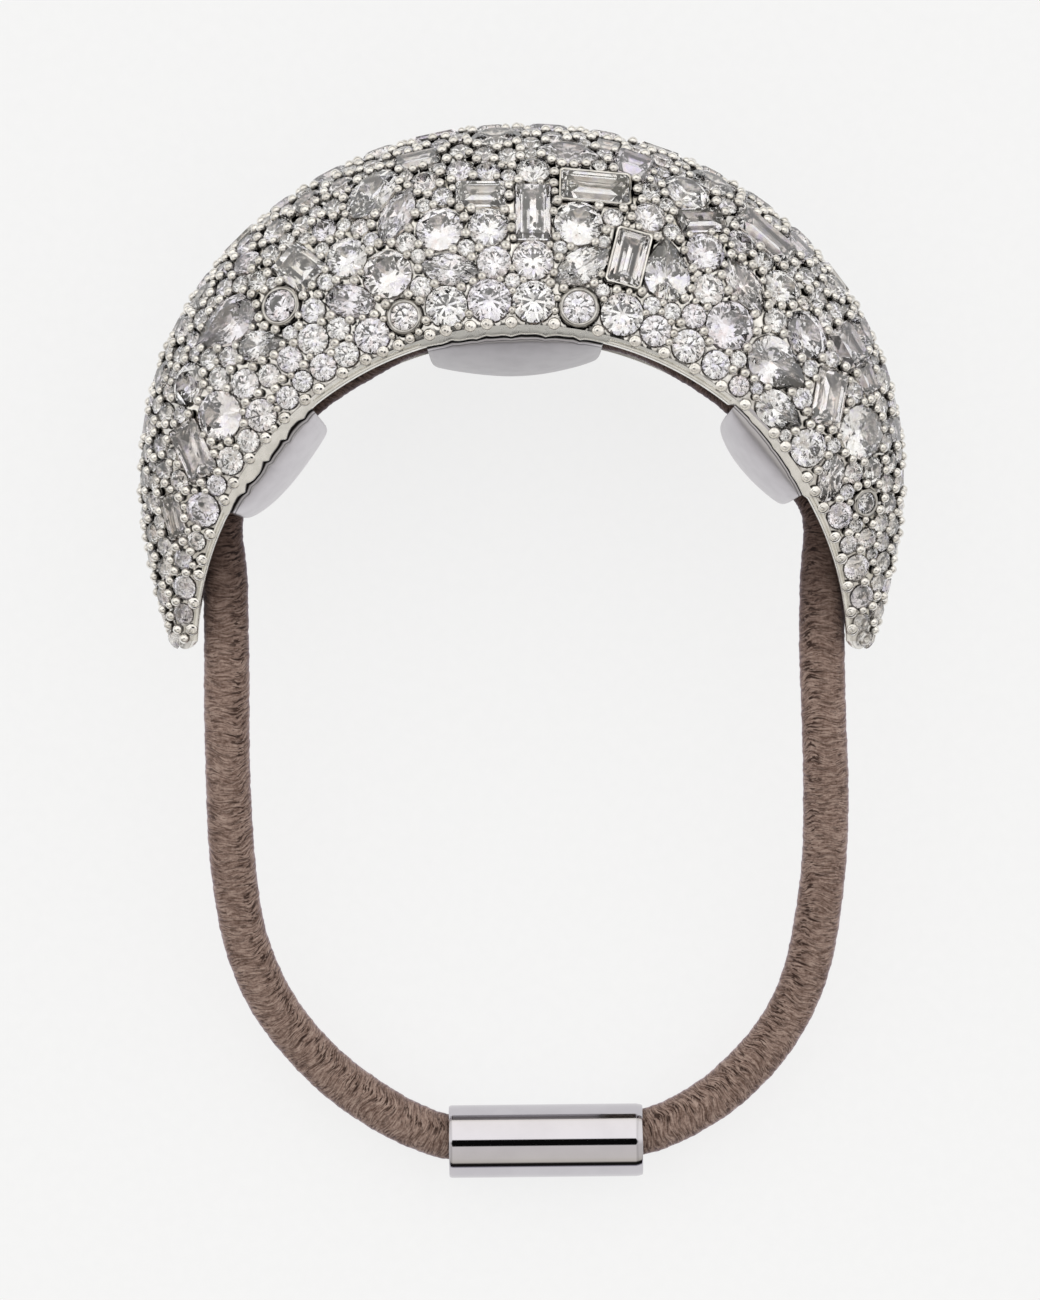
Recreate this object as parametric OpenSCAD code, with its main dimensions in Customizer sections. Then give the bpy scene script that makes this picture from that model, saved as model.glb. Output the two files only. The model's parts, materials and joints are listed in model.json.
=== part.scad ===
// Jewelled hair tie: a hollow domed crescent set all over with clear stones, on a loop of covered
// elastic whose ends meet in a polished ferrule. It lies on its side: +X right, +Y from the ferrule
// to the crest, +Z up. Millimetres.

/* [Loop] */
// Half width of the opening inside the metal rim
loop_rx = 28.2; // [27.8:0.1:28.8]
// Height of the rim's arch above the centre of the loop
loop_ry = 27.4; // [27.2:0.1:27.8]
// Diameter of the covered elastic
cord_d = 4; // [3:0.1:4]

/* [Shell] */
// Half width of the crescent over its stones
crest_rx = 33.3; // [33.1:0.1:34.5]
// How far the centre of the crest's curve stands above the centre of the loop
crest_lift = 15.8; // [15:0.1:16.5]
// Height of the crest above that centre
crest_ry = 30.1; // [29.5:0.1:31.5]
// Half depth of a cross-section as a share of its height
dome_ratio = 0.71; // [0.66:0.01:0.76]
// Thickness of the cast wall
wall = 1.4; // [1.2:0.1:1.6]
// Width of the plain border along the rim
lip_w = 0.9; // [0.7:0.1:1]

/* [Stones] */
// Depth of the metal below the tables of the stones
seat_depth = 1; // [0.9:0.05:1.1]
// Smallest space between two stones
stone_gap = 0.16; // [0.12:0.02:0.3]
// Width of a table as a share of its stone
table_share = 0.6; // [0.5:0.02:0.66]

/* [Cord guides] */
// Thickness of a guide plate
guide_t = 0.8; // [0.7:0.05:0.9]
// How far the widest guide bulges into the loop
guide_bulge = 3.4; // [3:0.1:3.6]

/* [Ferrule] */
// Outer diameter of the ferrule
ferrule_d = 6.4; // [6:0.1:7]
// Length of the ferrule
ferrule_l = 17; // [16:0.5:18]

/* [Hidden] */

// Cuts of stone
ROUND = 0;
OVAL = 1;
PEAR = 2;
MARQUISE = 3;
STEP = 4;
CUT_NAMES = ["round", "oval", "pear", "marquise", "step_cut"];
CUT_SIDES = [8, 8, 10, 10, 8];

// Levels below the tables, the height of a table over its girdle, and the space under a stone
girdle_depth = 0.55;
table_h = girdle_depth - 0.05;
base_gap = 0.07;
base_share = 0.72;
lip_depth = 0.45;

// Cross-sections lower than this have their levels drawn in
full_reach = 6;

// The crest turns this much faster than the rim, so the crescent's ends lean inwards
crest_turn = 1.325;
// The rounded ends swell outwards by this much, over this many degrees
end_swell = 0.9;
end_reach = 7;

// Stations of the shell along the rim, in degrees, and how much each rounded end shrinks
tip_angle = 2;
station_step = 4;
TIP_STATIONS = [[1, 0.55], [1.4, 0.85]];
DOME_STEPS = 10;
PLATE_STEPS = 6;

// Guides: first and last station in degrees, the bulge at the two ends, the share of the widest
// bulge at the middle, and how square the arch is: 1 is a sine, less is fuller
GUIDES = [
  [30, 50, 1.7, 1.3, 0.9, 0.5],
  [74, 106, 1, 1.3, 1, 0.75],
  [130, 154, 1.7, 2, 0.92, 0.5],
];

// Stones of the front as seen from the front, the first main_count as nodes of their own
// [across, up, cut, length, width, turn of the long axis or of a pear's point, setting]
BEADS = "";
BEZEL = "bezel_";
FRAME = "framed_";
main_count = 20;
CHART = [
  [-10.1, 28.8, ROUND, 2.7, 2.7, 0, BEZEL],
  [4.9, 29.6, ROUND, 2.7, 2.7, 0, BEZEL],
  [-20.8, 29.8, ROUND, 3.1, 3.1, 0, BEZEL],
  [29.7, 12.9, ROUND, 2, 2, 0, BEZEL],
  [6.3, 40.1, STEP, 5.6, 2.8, -5, FRAME],
  [9.2, 33.9, STEP, 4.7, 2.6, 76, FRAME],
  [12.5, 33, PEAR, 5.6, 3.9, 92, BEADS],
  [22.1, 24.7, PEAR, 5.4, 3.7, -35, BEADS],
  [22.2, 20.7, PEAR, 4.6, 3.1, -32, BEADS],
  [-25.7, 28.3, PEAR, 6.2, 4, 215, BEADS],
  [-22.5, 26.5, PEAR, 4.4, 2.6, 10, BEADS],
  [-3.6, 39.5, STEP, 4.3, 2.6, 0, BEADS],
  [0.95, 37.9, STEP, 5.2, 2.7, 90, BEADS],
  [-19.3, 33.2, STEP, 4.1, 3.1, -37, BEADS],
  [26.6, 22, STEP, 4.7, 2.7, 80, BEADS],
  [-6.2, 32.9, MARQUISE, 5.2, 2.7, -8, BEADS],
  [5.2, 33.2, MARQUISE, 5.2, 2.8, 30, BEADS],
  [19.2, 31.6, MARQUISE, 5.6, 3, 121, BEADS],
  [-10.8, 37.7, MARQUISE, 6.6, 3.1, 62, BEADS],
  [-13, 39.6, OVAL, 5.8, 3.7, 52, BEADS],

  [-6.5, 29.7, ROUND, 3.4, 3.4, 0, BEADS],
  [-2.8, 30.2, ROUND, 3.5, 3.5, 0, BEADS],
  [1, 30.1, ROUND, 3.5, 3.5, 0, BEADS],
  [-2.4, 33.5, ROUND, 3, 3, 0, BEADS],
  [0.95, 33.7, ROUND, 3.3, 3.3, 0, BEADS],
  [-2.9, 36.6, ROUND, 3.1, 3.1, 0, BEADS],
  [-7.1, 36.4, ROUND, 3.6, 3.6, 0, BEADS],
  [4.85, 36.9, ROUND, 4.1, 4.1, 0, BEADS],
  [-11.6, 32.5, ROUND, 4, 4, 0, BEADS],
  [8.6, 29, ROUND, 3.3, 3.3, 0, BEADS],
  [11.5, 27.6, ROUND, 3, 3, 0, BEADS],
  [14.3, 26.3, ROUND, 2.7, 2.7, 0, BEADS],
  [16.7, 24.7, ROUND, 2.4, 2.4, 0, BEADS],
  [18.7, 22.9, ROUND, 2, 2, 0, BEADS],
  [14.8, 28.9, ROUND, 2.1, 2.1, 0, BEADS],
  [17.9, 28.1, ROUND, 3.9, 3.9, 0, BEADS],
  [16.1, 31.2, ROUND, 2.6, 2.6, 0, BEADS],
  [15.8, 34.5, ROUND, 3.1, 3.1, 0, BEADS],
  [11, 37.5, ROUND, 2.5, 2.5, 0, BEADS],
  [21.9, 28.6, ROUND, 2.1, 2.1, 0, BEADS],
  [24.7, 17.6, ROUND, 3.3, 3.3, 0, BEADS],
  [29.4, 19, ROUND, 4.3, 4.3, 0, BEADS],
  [27.5, 11.8, ROUND, 2.5, 2.5, 0, BEADS],
  [28.3, 9.3, ROUND, 1.7, 1.7, 0, BEADS],
  [29, 7.3, ROUND, 2.1, 2.1, 0, BEADS],
  [29.5, 4.8, ROUND, 1.9, 1.9, 0, BEADS],
  [29.5, 2.6, ROUND, 1.4, 1.4, 0, BEADS],
  [28.7, 15.5, ROUND, 1.7, 1.7, 0, BEADS],
  [29.9, 9.8, ROUND, 1.8, 1.8, 0, BEADS],
  [26.7, 15, OVAL, 4.6, 2.5, 75, BEADS],
  [24.6, 27.4, OVAL, 4, 3.2, 115, BEADS],
  [22.5, 31.5, OVAL, 3.2, 2.7, 150, BEADS],
  [19, 35.4, OVAL, 2.5, 2, 150, BEADS],
  [15.5, 37.3, STEP, 4.3, 2.4, 3, BEADS],
  [14.2, 39.8, OVAL, 4, 3.6, 150, BEADS],
  [9.6, 42.2, STEP, 3.6, 3.2, -20, BEADS],
  [21.1, 36, STEP, 5.8, 2.6, -41, BEADS],
  [28.3, 26.5, STEP, 3.8, 3.2, 120, BEADS],
  [29.9, 23.6, STEP, 3.2, 2.4, 113, BEADS],
  [30.4, 15.7, OVAL, 2.4, 2, 85, BEADS],
  [4, 43.2, MARQUISE, 5.2, 3, -8, BEADS],
  [0.95, 41.6, OVAL, 2.6, 2.4, 0, BEADS],
  [-3, 41.5, ROUND, 2.1, 2.1, 0, BEADS],
  [-5.4, 41.6, ROUND, 2.1, 2.1, 0, BEADS],
  [-8.4, 40.6, ROUND, 2.8, 2.8, 0, BEADS],
  [-9.1, 42.6, STEP, 4, 2.2, 12, BEADS],
  [-15.1, 34, ROUND, 3.4, 3.4, 0, BEADS],
  [-14, 36.6, ROUND, 1.7, 1.7, 0, BEADS],
  [-14.8, 30.2, OVAL, 4.6, 3, -12, BEADS],
  [-12.9, 27.2, ROUND, 2.8, 2.8, 0, BEADS],
  [-15.8, 27.8, ROUND, 2.1, 2.1, 0, BEADS],
  [-15.1, 25.6, ROUND, 2, 2, 0, BEADS],
  [-18, 26.9, ROUND, 2.6, 2.6, 0, BEADS],
  [-17.1, 24.5, ROUND, 2.1, 2.1, 0, BEADS],
  [-18, 29.4, ROUND, 2, 2, 0, BEADS],
  [-20, 25.2, ROUND, 2, 2, 0, BEADS],
  [-18.9, 23.3, ROUND, 1.8, 1.8, 0, BEADS],
  [-21.8, 23.8, ROUND, 2, 2, 0, BEADS],
  [-20.2, 21.9, ROUND, 2, 2, 0, BEADS],
  [-23.9, 23.1, ROUND, 2.4, 2.4, 0, BEADS],
  [-26.2, 23.6, ROUND, 2, 2, 0, BEADS],
  [-22.5, 20.4, ROUND, 2.5, 2.5, 0, BEADS],
  [-26.1, 20.4, ROUND, 3.9, 3.9, 0, BEADS],
  [-23.6, 18.2, ROUND, 2.1, 2.1, 0, BEADS],
  [-25.2, 16.5, ROUND, 2.5, 2.5, 0, BEADS],
  [-26.4, 14.4, ROUND, 1.6, 1.6, 0, BEADS],
  [-28.5, 17.4, STEP, 4.8, 2.8, 115, BEADS],
  [-27.6, 12.3, ROUND, 2.9, 2.9, 0, BEADS],
  [-28.9, 23.2, OVAL, 3.4, 2.9, 70, BEADS],
  [-23.9, 33.7, OVAL, 3, 2.3, 20, BEADS],
  [-21.3, 36.5, OVAL, 2.6, 2.2, 60, BEADS],
  [-17.1, 36.4, ROUND, 2, 2, 0, BEADS],
  [-18.6, 39, OVAL, 3, 2.4, 35, BEADS],
  [-15.6, 40.3, OVAL, 2.4, 2.2, 30, BEADS],
  [-27.6, 30.9, OVAL, 2.8, 2.2, 60, BEADS],
  [-30.2, 11.7, STEP, 4.2, 2.2, 105, BEADS],
  [-28.2, 9.6, ROUND, 1.8, 1.8, 0, BEADS],
  [-29.4, 8, ROUND, 1.6, 1.6, 0, BEADS],
  [-29.3, 5.6, ROUND, 1.9, 1.9, 0, BEADS],
  [-29.4, 3.3, ROUND, 1.6, 1.6, 0, BEADS],
];

// Rows that run along the crest and fill what the chart leaves
// [angle from the crest towards the front, first station, last station, step in degrees]
ROWS = [
  [0, 9, 171, 6.5],
  [16, 15, 165, 6.5],
];
// Stones that a row takes in turn: [cut, length along the row, width]
ROW_CUTS = [
  [OVAL, 4.2, 3.2],
  [ROUND, 3, 3],
  [STEP, 4, 2.8],
  [ROUND, 3.4, 3.4],
];
smallest_row_share = 0.55;
smallest_chart_share = 0.55;
// The back leaves out charted stones narrower than this
smallest_back = 2;
near = 7.5;

// Route of the elastic from one end inside the ferrule, up the left arm, through the guides and
// down the right arm: [across, up, above or below the middle of the shell]
ROUTE = [
  [1.8, -42.8, -9.8],
  [-2, -42.8, -9.8],
  [-6.2, -42.6, -9.8],
  [-8.9, -41.8, -9.7],
  [-12.1, -40.2, -9.6],
  [-16.1, -37.4, -9.4],
  [-19.5, -34, -8.9],
  [-22, -30.5, -8.2],
  [-23.6, -27, -7.2],
  [-24.6, -23.4, -6.2],
  [-25.3, -18, -4.6],
  [-25.6, -12, -3],
  [-25.7, -6, -1.6],
  [-25.7, 0, -0.7],
  [-25.8, 6, -0.2],
  [-26.1, 12.2, 0],
  [-22.9, 17.5, 0],
  [-19, 22.1, 0],
  [-13.9, 25.5, 0],
  [-8.3, 28.1, 0],
  [0, 28.5, 0],
  [8.3, 28.1, 0],
  [14, 25.7, 0],
  [19.1, 22.2, 0],
  [22.9, 17.5, 0],
  [26.2, 12.4, 0],
  [26.1, 6, -0.2],
  [26.1, 0, -0.7],
  [26.3, -6, -1.6],
  [26.5, -12, -3],
  [26.4, -18, -4.6],
  [25.8, -23.4, -6.2],
  [25, -27.5, -7.4],
  [23.6, -31.2, -8.3],
  [21.3, -34.8, -9],
  [18.1, -38.1, -9.5],
  [15.6, -39.9, -9.7],
  [13, -41.3, -9.8],
  [10.2, -42.2, -9.8],
  [6.4, -42.5, -9.8],
  [2.4, -42.6, -9.8],
];
CORD_SIDES = 8;

// Ferrule: where its middle lies, how far it is turned in the plane of the loop, its bore, its
// outer edge and the flare of its mouths
ferrule_at = [2.1, -42.9, -9.8];
ferrule_turn = 0.6;
ferrule_bore = cord_d + 1.6;
ferrule_edge = 0.12;
ferrule_flare = 0.2;

// The shell lies on its back stones, and its box is centred on the origin
rest_height = 13.05;
box_middle = 22.9;

function unit(v) = v / norm(v);
function mix(a, b, k) = a + (b - a) * k;

// The rim and the crest in the plane of the loop, by station in degrees
function rim_pt(t) = [loop_rx * cos(t), loop_ry * sin(t)];
function crest_angle(t) = 90 + (t - 90) * crest_turn;
function swell(t) = end_swell * exp(-min(t, 180 - t) / end_reach) * sign(90 - t);
function crest_pt(t) = let (p = crest_angle(t), up = sin(p) > 0 ? crest_ry : crest_rx)
  [crest_rx * cos(p) + swell(t), crest_lift + up * sin(p)];
function spoke(t) = crest_pt(t) - rim_pt(t);
function ease(t) = min(1, norm(spoke(t)) / full_reach);

// A point of the dome, depth mm below the tables: f is 90 at the front rim, 0 at the crest
function skin(t, f, depth, shrink = 1) =
  let (
    s = spoke(t),
    a = norm(s),
    out = unit(s),
    low = ease(t) * depth,
    foot = rim_pt(t) + s * (1 - shrink) / 2,
    high = max(0.15, (a - low) * shrink),
    deep = max(0.15, (dome_ratio * a - low) * shrink),
    at = foot + out * high * cos(f)
  )
  [at.x, at.y, deep * sin(f)];

function skin_normal(t, f) =
  unit(cross(
    skin(t + 0.2, f, girdle_depth) - skin(t - 0.2, f, girdle_depth),
    skin(t, f + 0.2, girdle_depth) - skin(t, f - 0.2, girdle_depth)
  ));

// The station whose spoke passes through a point seen from the front
function side_of(t, p) = let (s = spoke(t), q = p - rim_pt(t)) s.x * q.y - s.y * q.x;
function station_of(p, low = 0, high = 180, turns = 13) =
  let (mid = (low + high) / 2)
  turns == 0 ? mid
  : side_of(mid, p) > 0 ? station_of(p, mid, high, turns - 1)
  : station_of(p, low, mid, turns - 1);

// Outline of a stone of a cut, its long axis along X and a pear's point at +X
function outline(cut, l, w) =
  let (n = CUT_SIDES[cut])
  cut == STEP ? (
    let (c = 0.2 * w, x = l / 2, y = w / 2)
    [[x, c - y], [x, y - c], [x - c, y], [c - x, y], [-x, y - c], [-x, c - y], [c - x, -y], [x - c, -y]]
  )
  : cut == MARQUISE ? (
    let (r = (l * l + w * w) / (4 * w))
    [for (k = [0:n - 1])
      let (x = l / 2 * cos(k * 360 / n), y = sqrt(max(0, r * r - x * x)) - r + w / 2)
      [x, k < n / 2 ? y : -y]]
  )
  : cut == PEAR ? [for (k = [0:n - 1])
    let (a = k * 360 / n) [l / 2 * cos(a), 1.25 * w / 2 * sin(a) * pow(abs(sin(a / 2)), 0.8)]]
  : [for (k = [0:n - 1]) let (a = (k + 0.5) * 360 / n) [l / 2 * cos(a), w / 2 * sin(a)]];

// A seat holds [cut, length, width, place, long axis, cross axis, normal, station, setting, depth]
function seat(cut, l, w, t, f, along, setting) =
  let (
    n = skin_normal(t, f),
    e = unit(along - n * (along * n)),
    place = skin(t, f, girdle_depth),
    deep = max(0.1, (place - skin(t, f, seat_depth)) * n - base_gap)
  )
  [cut, l, w, place, e, cross(n, e), n, t, setting, deep];

function chart_seat(row) =
  let (
    p = [row[0], row[1]],
    t = station_of(p),
    s = spoke(t),
    share = (p - rim_pt(t)) * unit(s) / (norm(s) - ease(t) * girdle_depth),
    f = acos(min(0.985, max(0.02, share))),
    n = skin_normal(t, f),
    d = [cos(row[5]), sin(row[5]), 0]
  )
  seat(row[2], row[3], row[4], t, f, d - [0, 0, (d * n) / max(0.3, n.z)], row[6]);

function row_seats(row) =
  [for (k = [0:floor((row[2] - row[1]) / row[3])])
    let (
      t = row[1] + k * row[3],
      c = ROW_CUTS[k % len(ROW_CUTS)],
      small = min(1, 0.25 + norm(spoke(t)) / 16),
      tangent = skin(t + 1, row[0], 0) - skin(t - 1, row[0], 0)
    )
    seat(c[0], c[1] * small, c[2] * small, t, row[0], tangent, BEADS)];

// The back is the front turned over about the Y axis
function turned(v) = [-v.x, v.y, -v.z];
function turned_seat(s) =
  [s[0], s[1], s[2], turned(s[3]), turned(s[4]), turned(s[5]), turned(s[6]), 180 - s[7], s[8], s[9]];

// How far a stone reaches along a direction
function extent(s, d) =
  let (x = s[4] * d, y = s[5] * d)
  max([for (p = outline(s[0], s[1], s[2])) p.x * x + p.y * y]);

// A bezel or frame takes room round its stone
function rim_room(s) = s[8] == BEADS ? 0 : 0.35;

// The share of its size at which a stone clears another: both shrink, or only the first
function clear_share(a, b, both) =
  let (
    v = b[3] - a[3],
    d = unit(v - a[6] * (v * a[6])),
    side = cross(a[6], d)
  )
  max([for (turn = [-40:20:40])
    let (
      way = d * cos(turn) + side * sin(turn),
      gap = v * way - stone_gap - rim_room(a) - rim_room(b),
      ea = extent(a, way),
      eb = extent(b, -way)
    )
    both ? gap / (ea + eb) : (gap - eb) / ea]);

function near_others(s, others) =
  [for (o = others) let (d = norm(o[3] - s[3])) if (d > 0.01 && d < near) o];

// A stone also stays clear of the border along the rim
function border_share(s) =
  abs(s[6].z) < 0.3 ? 1
  : min([for (turn = [-12:3:12])
    let (
      t = min(max(s[7] + turn, 1), 179),
      f = (90 - 1.2 * lip_angle(t, 1)) * sign(s[6].z),
      v = skin(t, f, girdle_depth) - s[3]
    )
    (norm(v) - 0.05) / extent(s, unit(v - s[6] * (v * s[6])))]);

function chart_share(s, others) =
  min(concat([1, border_share(s)], [for (o = near_others(s, others)) clear_share(s, o, true)]));
function row_share(s, chart, rows) =
  min(concat(
    [1, border_share(s)],
    [for (o = near_others(s, chart)) clear_share(s, o, false)],
    [for (o = near_others(s, rows)) clear_share(s, o, true)]
  ));

FRONT = [for (row = CHART) chart_seat(row)];
CHARTED = concat(FRONT, [for (s = FRONT) turned_seat(s)]);
CREST = row_seats(ROWS[0]);
FLANK = row_seats(ROWS[1]);
IN_ROWS = concat(CREST, FLANK, [for (s = FLANK) turned_seat(s)]);

// A faceted stone: a flat base, a girdle and a table
module stone(s, share) {
  flat = outline(s[0], s[1], s[2]);
  n = len(flat);
  rings = [[-s[9], base_share], [0, 1], [table_h * ease(s[7]), table_share]];
  points = [for (r = rings, p = flat)
    s[3] + (s[4] * p.x + s[5] * p.y) * share * r[1] + s[6] * r[0]];
  sides = [for (r = [0:1], k = [0:n - 1])
    [r * n + k, (r + 1) * n + k, (r + 1) * n + (k + 1) % n, r * n + (k + 1) % n]];
  polyhedron(points, concat([[for (k = [0:n - 1]) k]], sides, [[for (k = [0:n - 1]) 3 * n - 1 - k]]));
}

module main_stone(k, back) {
  s = FRONT[k];
  color("aliceblue") stone(back ? turned_seat(s) : s, chart_share(s, CHARTED));
}

module field_stones(back) {
  color("ghostwhite") {
    for (k = [main_count:len(CHART) - 1]) {
      share = chart_share(FRONT[k], CHARTED);
      if (share > smallest_chart_share && (!back || CHART[k][4] > smallest_back))
        stone(back ? turned_seat(FRONT[k]) : FRONT[k], share);
    }
    for (s = FLANK) {
      share = row_share(s, CHARTED, IN_ROWS);
      if (share > smallest_row_share)
        stone(back ? turned_seat(s) : s, share);
    }
    if (!back) {
      for (s = CREST) {
        share = row_share(s, CHARTED, IN_ROWS);
        if (share > smallest_row_share)
          stone(s, share);
      }
    }
  }
}

// Angle that the border takes at a station: it narrows towards the ends
function lip_angle(t, shrink) =
  let (a = norm(spoke(t)) * shrink)
  min(18, lip_w * min(1, 0.4 + a / 20) / a * 180 / PI);

// Outer and inner walls of one station, front to back and back to front
function outer_wall(t, shrink) =
  let (a = lip_angle(t, shrink), top = 90 - 1.2 * a)
  concat(
    [skin(t, 90, lip_depth, shrink), skin(t, 90 - a, lip_depth, shrink)],
    [for (k = [0:DOME_STEPS]) skin(t, mix(top, -top, k / DOME_STEPS), seat_depth, shrink)],
    [skin(t, a - 90, lip_depth, shrink), skin(t, -90, lip_depth, shrink)]
  );
function inner_wall(t, shrink) =
  [for (k = [0:DOME_STEPS]) skin(t, mix(-90, 90, k / DOME_STEPS), seat_depth + wall, shrink)];

// The two faces of a guide at a station, arching from rim to rim, bulge mm into the loop
function arch(t, bulge, from, to) =
  [for (k = [1:PLATE_STEPS - 1])
    let (
      z = mix(from, to, k / PLATE_STEPS),
      in = bulge * sqrt(1 - pow(z / from, 2)),
      p = rim_pt(t) - in * unit([cos(t), sin(t)])
    )
    [p.x, p.y, z]];

function guide_of(t) = [for (g = GUIDES) if (t >= g[0] && t <= g[1]) g];
function bulge_at(t, g) =
  let (k = (t - g[0]) / (g[1] - g[0]), end = mix(g[2], g[3], k))
  end + (guide_bulge * g[4] - end) * pow(max(0, sin(180 * k)), g[5]);
// A guide thins to its ends, where the elastic leaves it
function plate_at(t, g) = let (k = (t - g[0]) / (g[1] - g[0])) mix(0.5, guide_t, sin(180 * k));

function station_points(t, shrink) =
  let (
    out = outer_wall(t, shrink),
    in = inner_wall(t, shrink),
    g = guide_of(t),
    b = len(g) == 0 ? 0.5 : bulge_at(t, g[0]),
    p = len(g) == 0 ? 0.4 : plate_at(t, g[0])
  )
  concat(
    out,
    in,
    arch(t, b, -out[0].z, out[0].z),
    arch(t, b - p, in[DOME_STEPS].z, -in[DOME_STEPS].z)
  );

STATIONS = concat(
  TIP_STATIONS,
  [for (t = [tip_angle:station_step:180 - tip_angle]) [t, 1]],
  [for (k = [len(TIP_STATIONS) - 1:-1:0]) [180 - TIP_STATIONS[k][0], TIP_STATIONS[k][1]]]
);

module jewel_shell() {
  outs = DOME_STEPS + 5;
  ins = DOME_STEPS + 1;
  arcs = PLATE_STEPS - 1;
  block = outs + ins + 2 * arcs;
  open_loop = [for (k = [0:outs + ins - 1]) k];
  outer_loop = concat([for (k = [0:outs - 1]) k], [for (k = [0:arcs - 1]) outs + ins + k]);
  inner_loop = concat([for (k = [0:ins - 1]) outs + k], [for (k = [0:arcs - 1]) outs + ins + arcs + k]);
  guide_edge = concat([outs - 1], [for (k = [0:arcs - 1]) outs + ins + k], [0]);
  cord_edge = concat([outs], [for (k = [arcs - 1:-1:0]) outs + ins + arcs + k], [outs + ins - 1]);
  last = len(STATIONS) - 1;
  cells = [for (i = [0:last - 1])
    let (t = (STATIONS[i][0] + STATIONS[i + 1][0]) / 2, guided = len(guide_of(t)) > 0)
    each guided
      ? concat(strip(outer_loop, i, block), strip(inner_loop, i, block))
      : strip(open_loop, i, block)];
  ends = [for (i = [1:last - 1])
    let (
      before = len(guide_of((STATIONS[i - 1][0] + STATIONS[i][0]) / 2)) > 0,
      after = len(guide_of((STATIONS[i][0] + STATIONS[i + 1][0]) / 2)) > 0
    )
    if (before != after) each band(guide_edge, cord_edge, i * block, after)];
  caps = [open_loop, [for (k = [len(open_loop) - 1:-1:0]) last * block + open_loop[k]]];
  points = [for (s = STATIONS) each station_points(s[0], s[1])];
  color("silver") polyhedron(points, concat(cells, ends, caps));
}

// Quads of a closed loop between a station and the next
function strip(loop, i, block) =
  let (n = len(loop))
  [for (k = [0:n - 1])
    let (a = loop[k], b = loop[(k + 1) % n])
    [i * block + a, (i + 1) * block + a, (i + 1) * block + b, i * block + b]];
// Quads that close a guide's end, between its two faces
function band(one, two, base, after) =
  [for (k = [0:len(one) - 2])
    let (q = [one[k], one[k + 1], two[k + 1], two[k]])
    [for (j = after ? [0:3] : [3:-1:0]) base + q[j]]];

// The route with a point between each two, on a smooth curve
function route_pt(k) = ROUTE[min(max(k, 0), len(ROUTE) - 1)];
function between(k) = (9 * (route_pt(k) + route_pt(k + 1)) - route_pt(k - 1) - route_pt(k + 2)) / 16;
SMOOTH = [for (k = [0:len(ROUTE) - 1]) each k < len(ROUTE) - 1 ? [ROUTE[k], between(k)] : [ROUTE[k]]];

module elastic_cord() {
  last = len(SMOOTH) - 1;
  n = CORD_SIDES;
  points = [for (k = [0:last])
    let (
      way = unit(SMOOTH[min(k + 1, last)] - SMOOTH[max(k - 1, 0)]),
      side = unit(cross(way, [0, 0, 1])),
      up = cross(side, way)
    )
    each [for (j = [0:n - 1])
      SMOOTH[k] + cord_d / 2 * (side * cos(j * 360 / n) + up * sin(j * 360 / n))]];
  sides = [for (k = [0:last - 1], j = [0:n - 1])
    let (a = k * n + j, b = k * n + (j + 1) % n)
    [a, b, b + n, a + n]];
  caps = [[for (j = [n - 1:-1:0]) j], [for (j = [0:n - 1]) last * n + j]];
  color("rosybrown") polyhedron(points, concat(sides, caps));
}

// A thin turned barrel with eased edges and flared mouths for the two ends of the elastic
module ferrule() {
  r = ferrule_d / 2;
  h = ferrule_l / 2;
  e = ferrule_edge;
  b = ferrule_bore / 2;
  color("gainsboro") translate(ferrule_at) rotate([0, 90, ferrule_turn])
    rotate_extrude($fn = 48) difference() {
      union() {
        translate([0, -h + e]) square([r, 2 * (h - e)]);
        translate([0, -h]) square([r - e, 2 * h]);
        for (z = [e - h, h - e]) translate([r - e, z]) circle(r = e, $fn = 24);
      }
      translate([-1, -h - 1]) square([b + 1, 2 * h + 2]);
      for (z = [-h, h]) translate([b, z]) circle(r = ferrule_flare, $fn = 24);
    }
}

function main_name(k, back) = str(
  CHART[k][6], CUT_NAMES[CHART[k][2]], back ? "_back_" : "_front_", k + 1
);
MAIN_NODES = [for (back = [false, true], k = [0:main_count - 1]) main_name(k, back)];

translate([0, -box_middle, rest_height]) {
  jewel_shell();
  elastic_cord();
  ferrule();
  field_stones(false);  // stones_front
  field_stones(true);  // stones_back
  for (back = [false, true], k = [0:main_count - 1]) {
    main_stone(k, back);
  }
}
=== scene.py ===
"""Jewelled hair tie: a domed crescent set with clear stones on a loop of covered elastic.

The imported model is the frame. Shapes are worked out in millimetres in the elastic's own
coordinates, with the loop's centre as origin, and are written in metres in the row's frame.
"""

import json
import logging
from dataclasses import dataclass, field
from enum import Enum, IntEnum
from typing import Any, Optional, Sequence

import bmesh
import bpy
import numpy as np
from mathutils import Matrix
from mathutils.kdtree import KDTree

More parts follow.
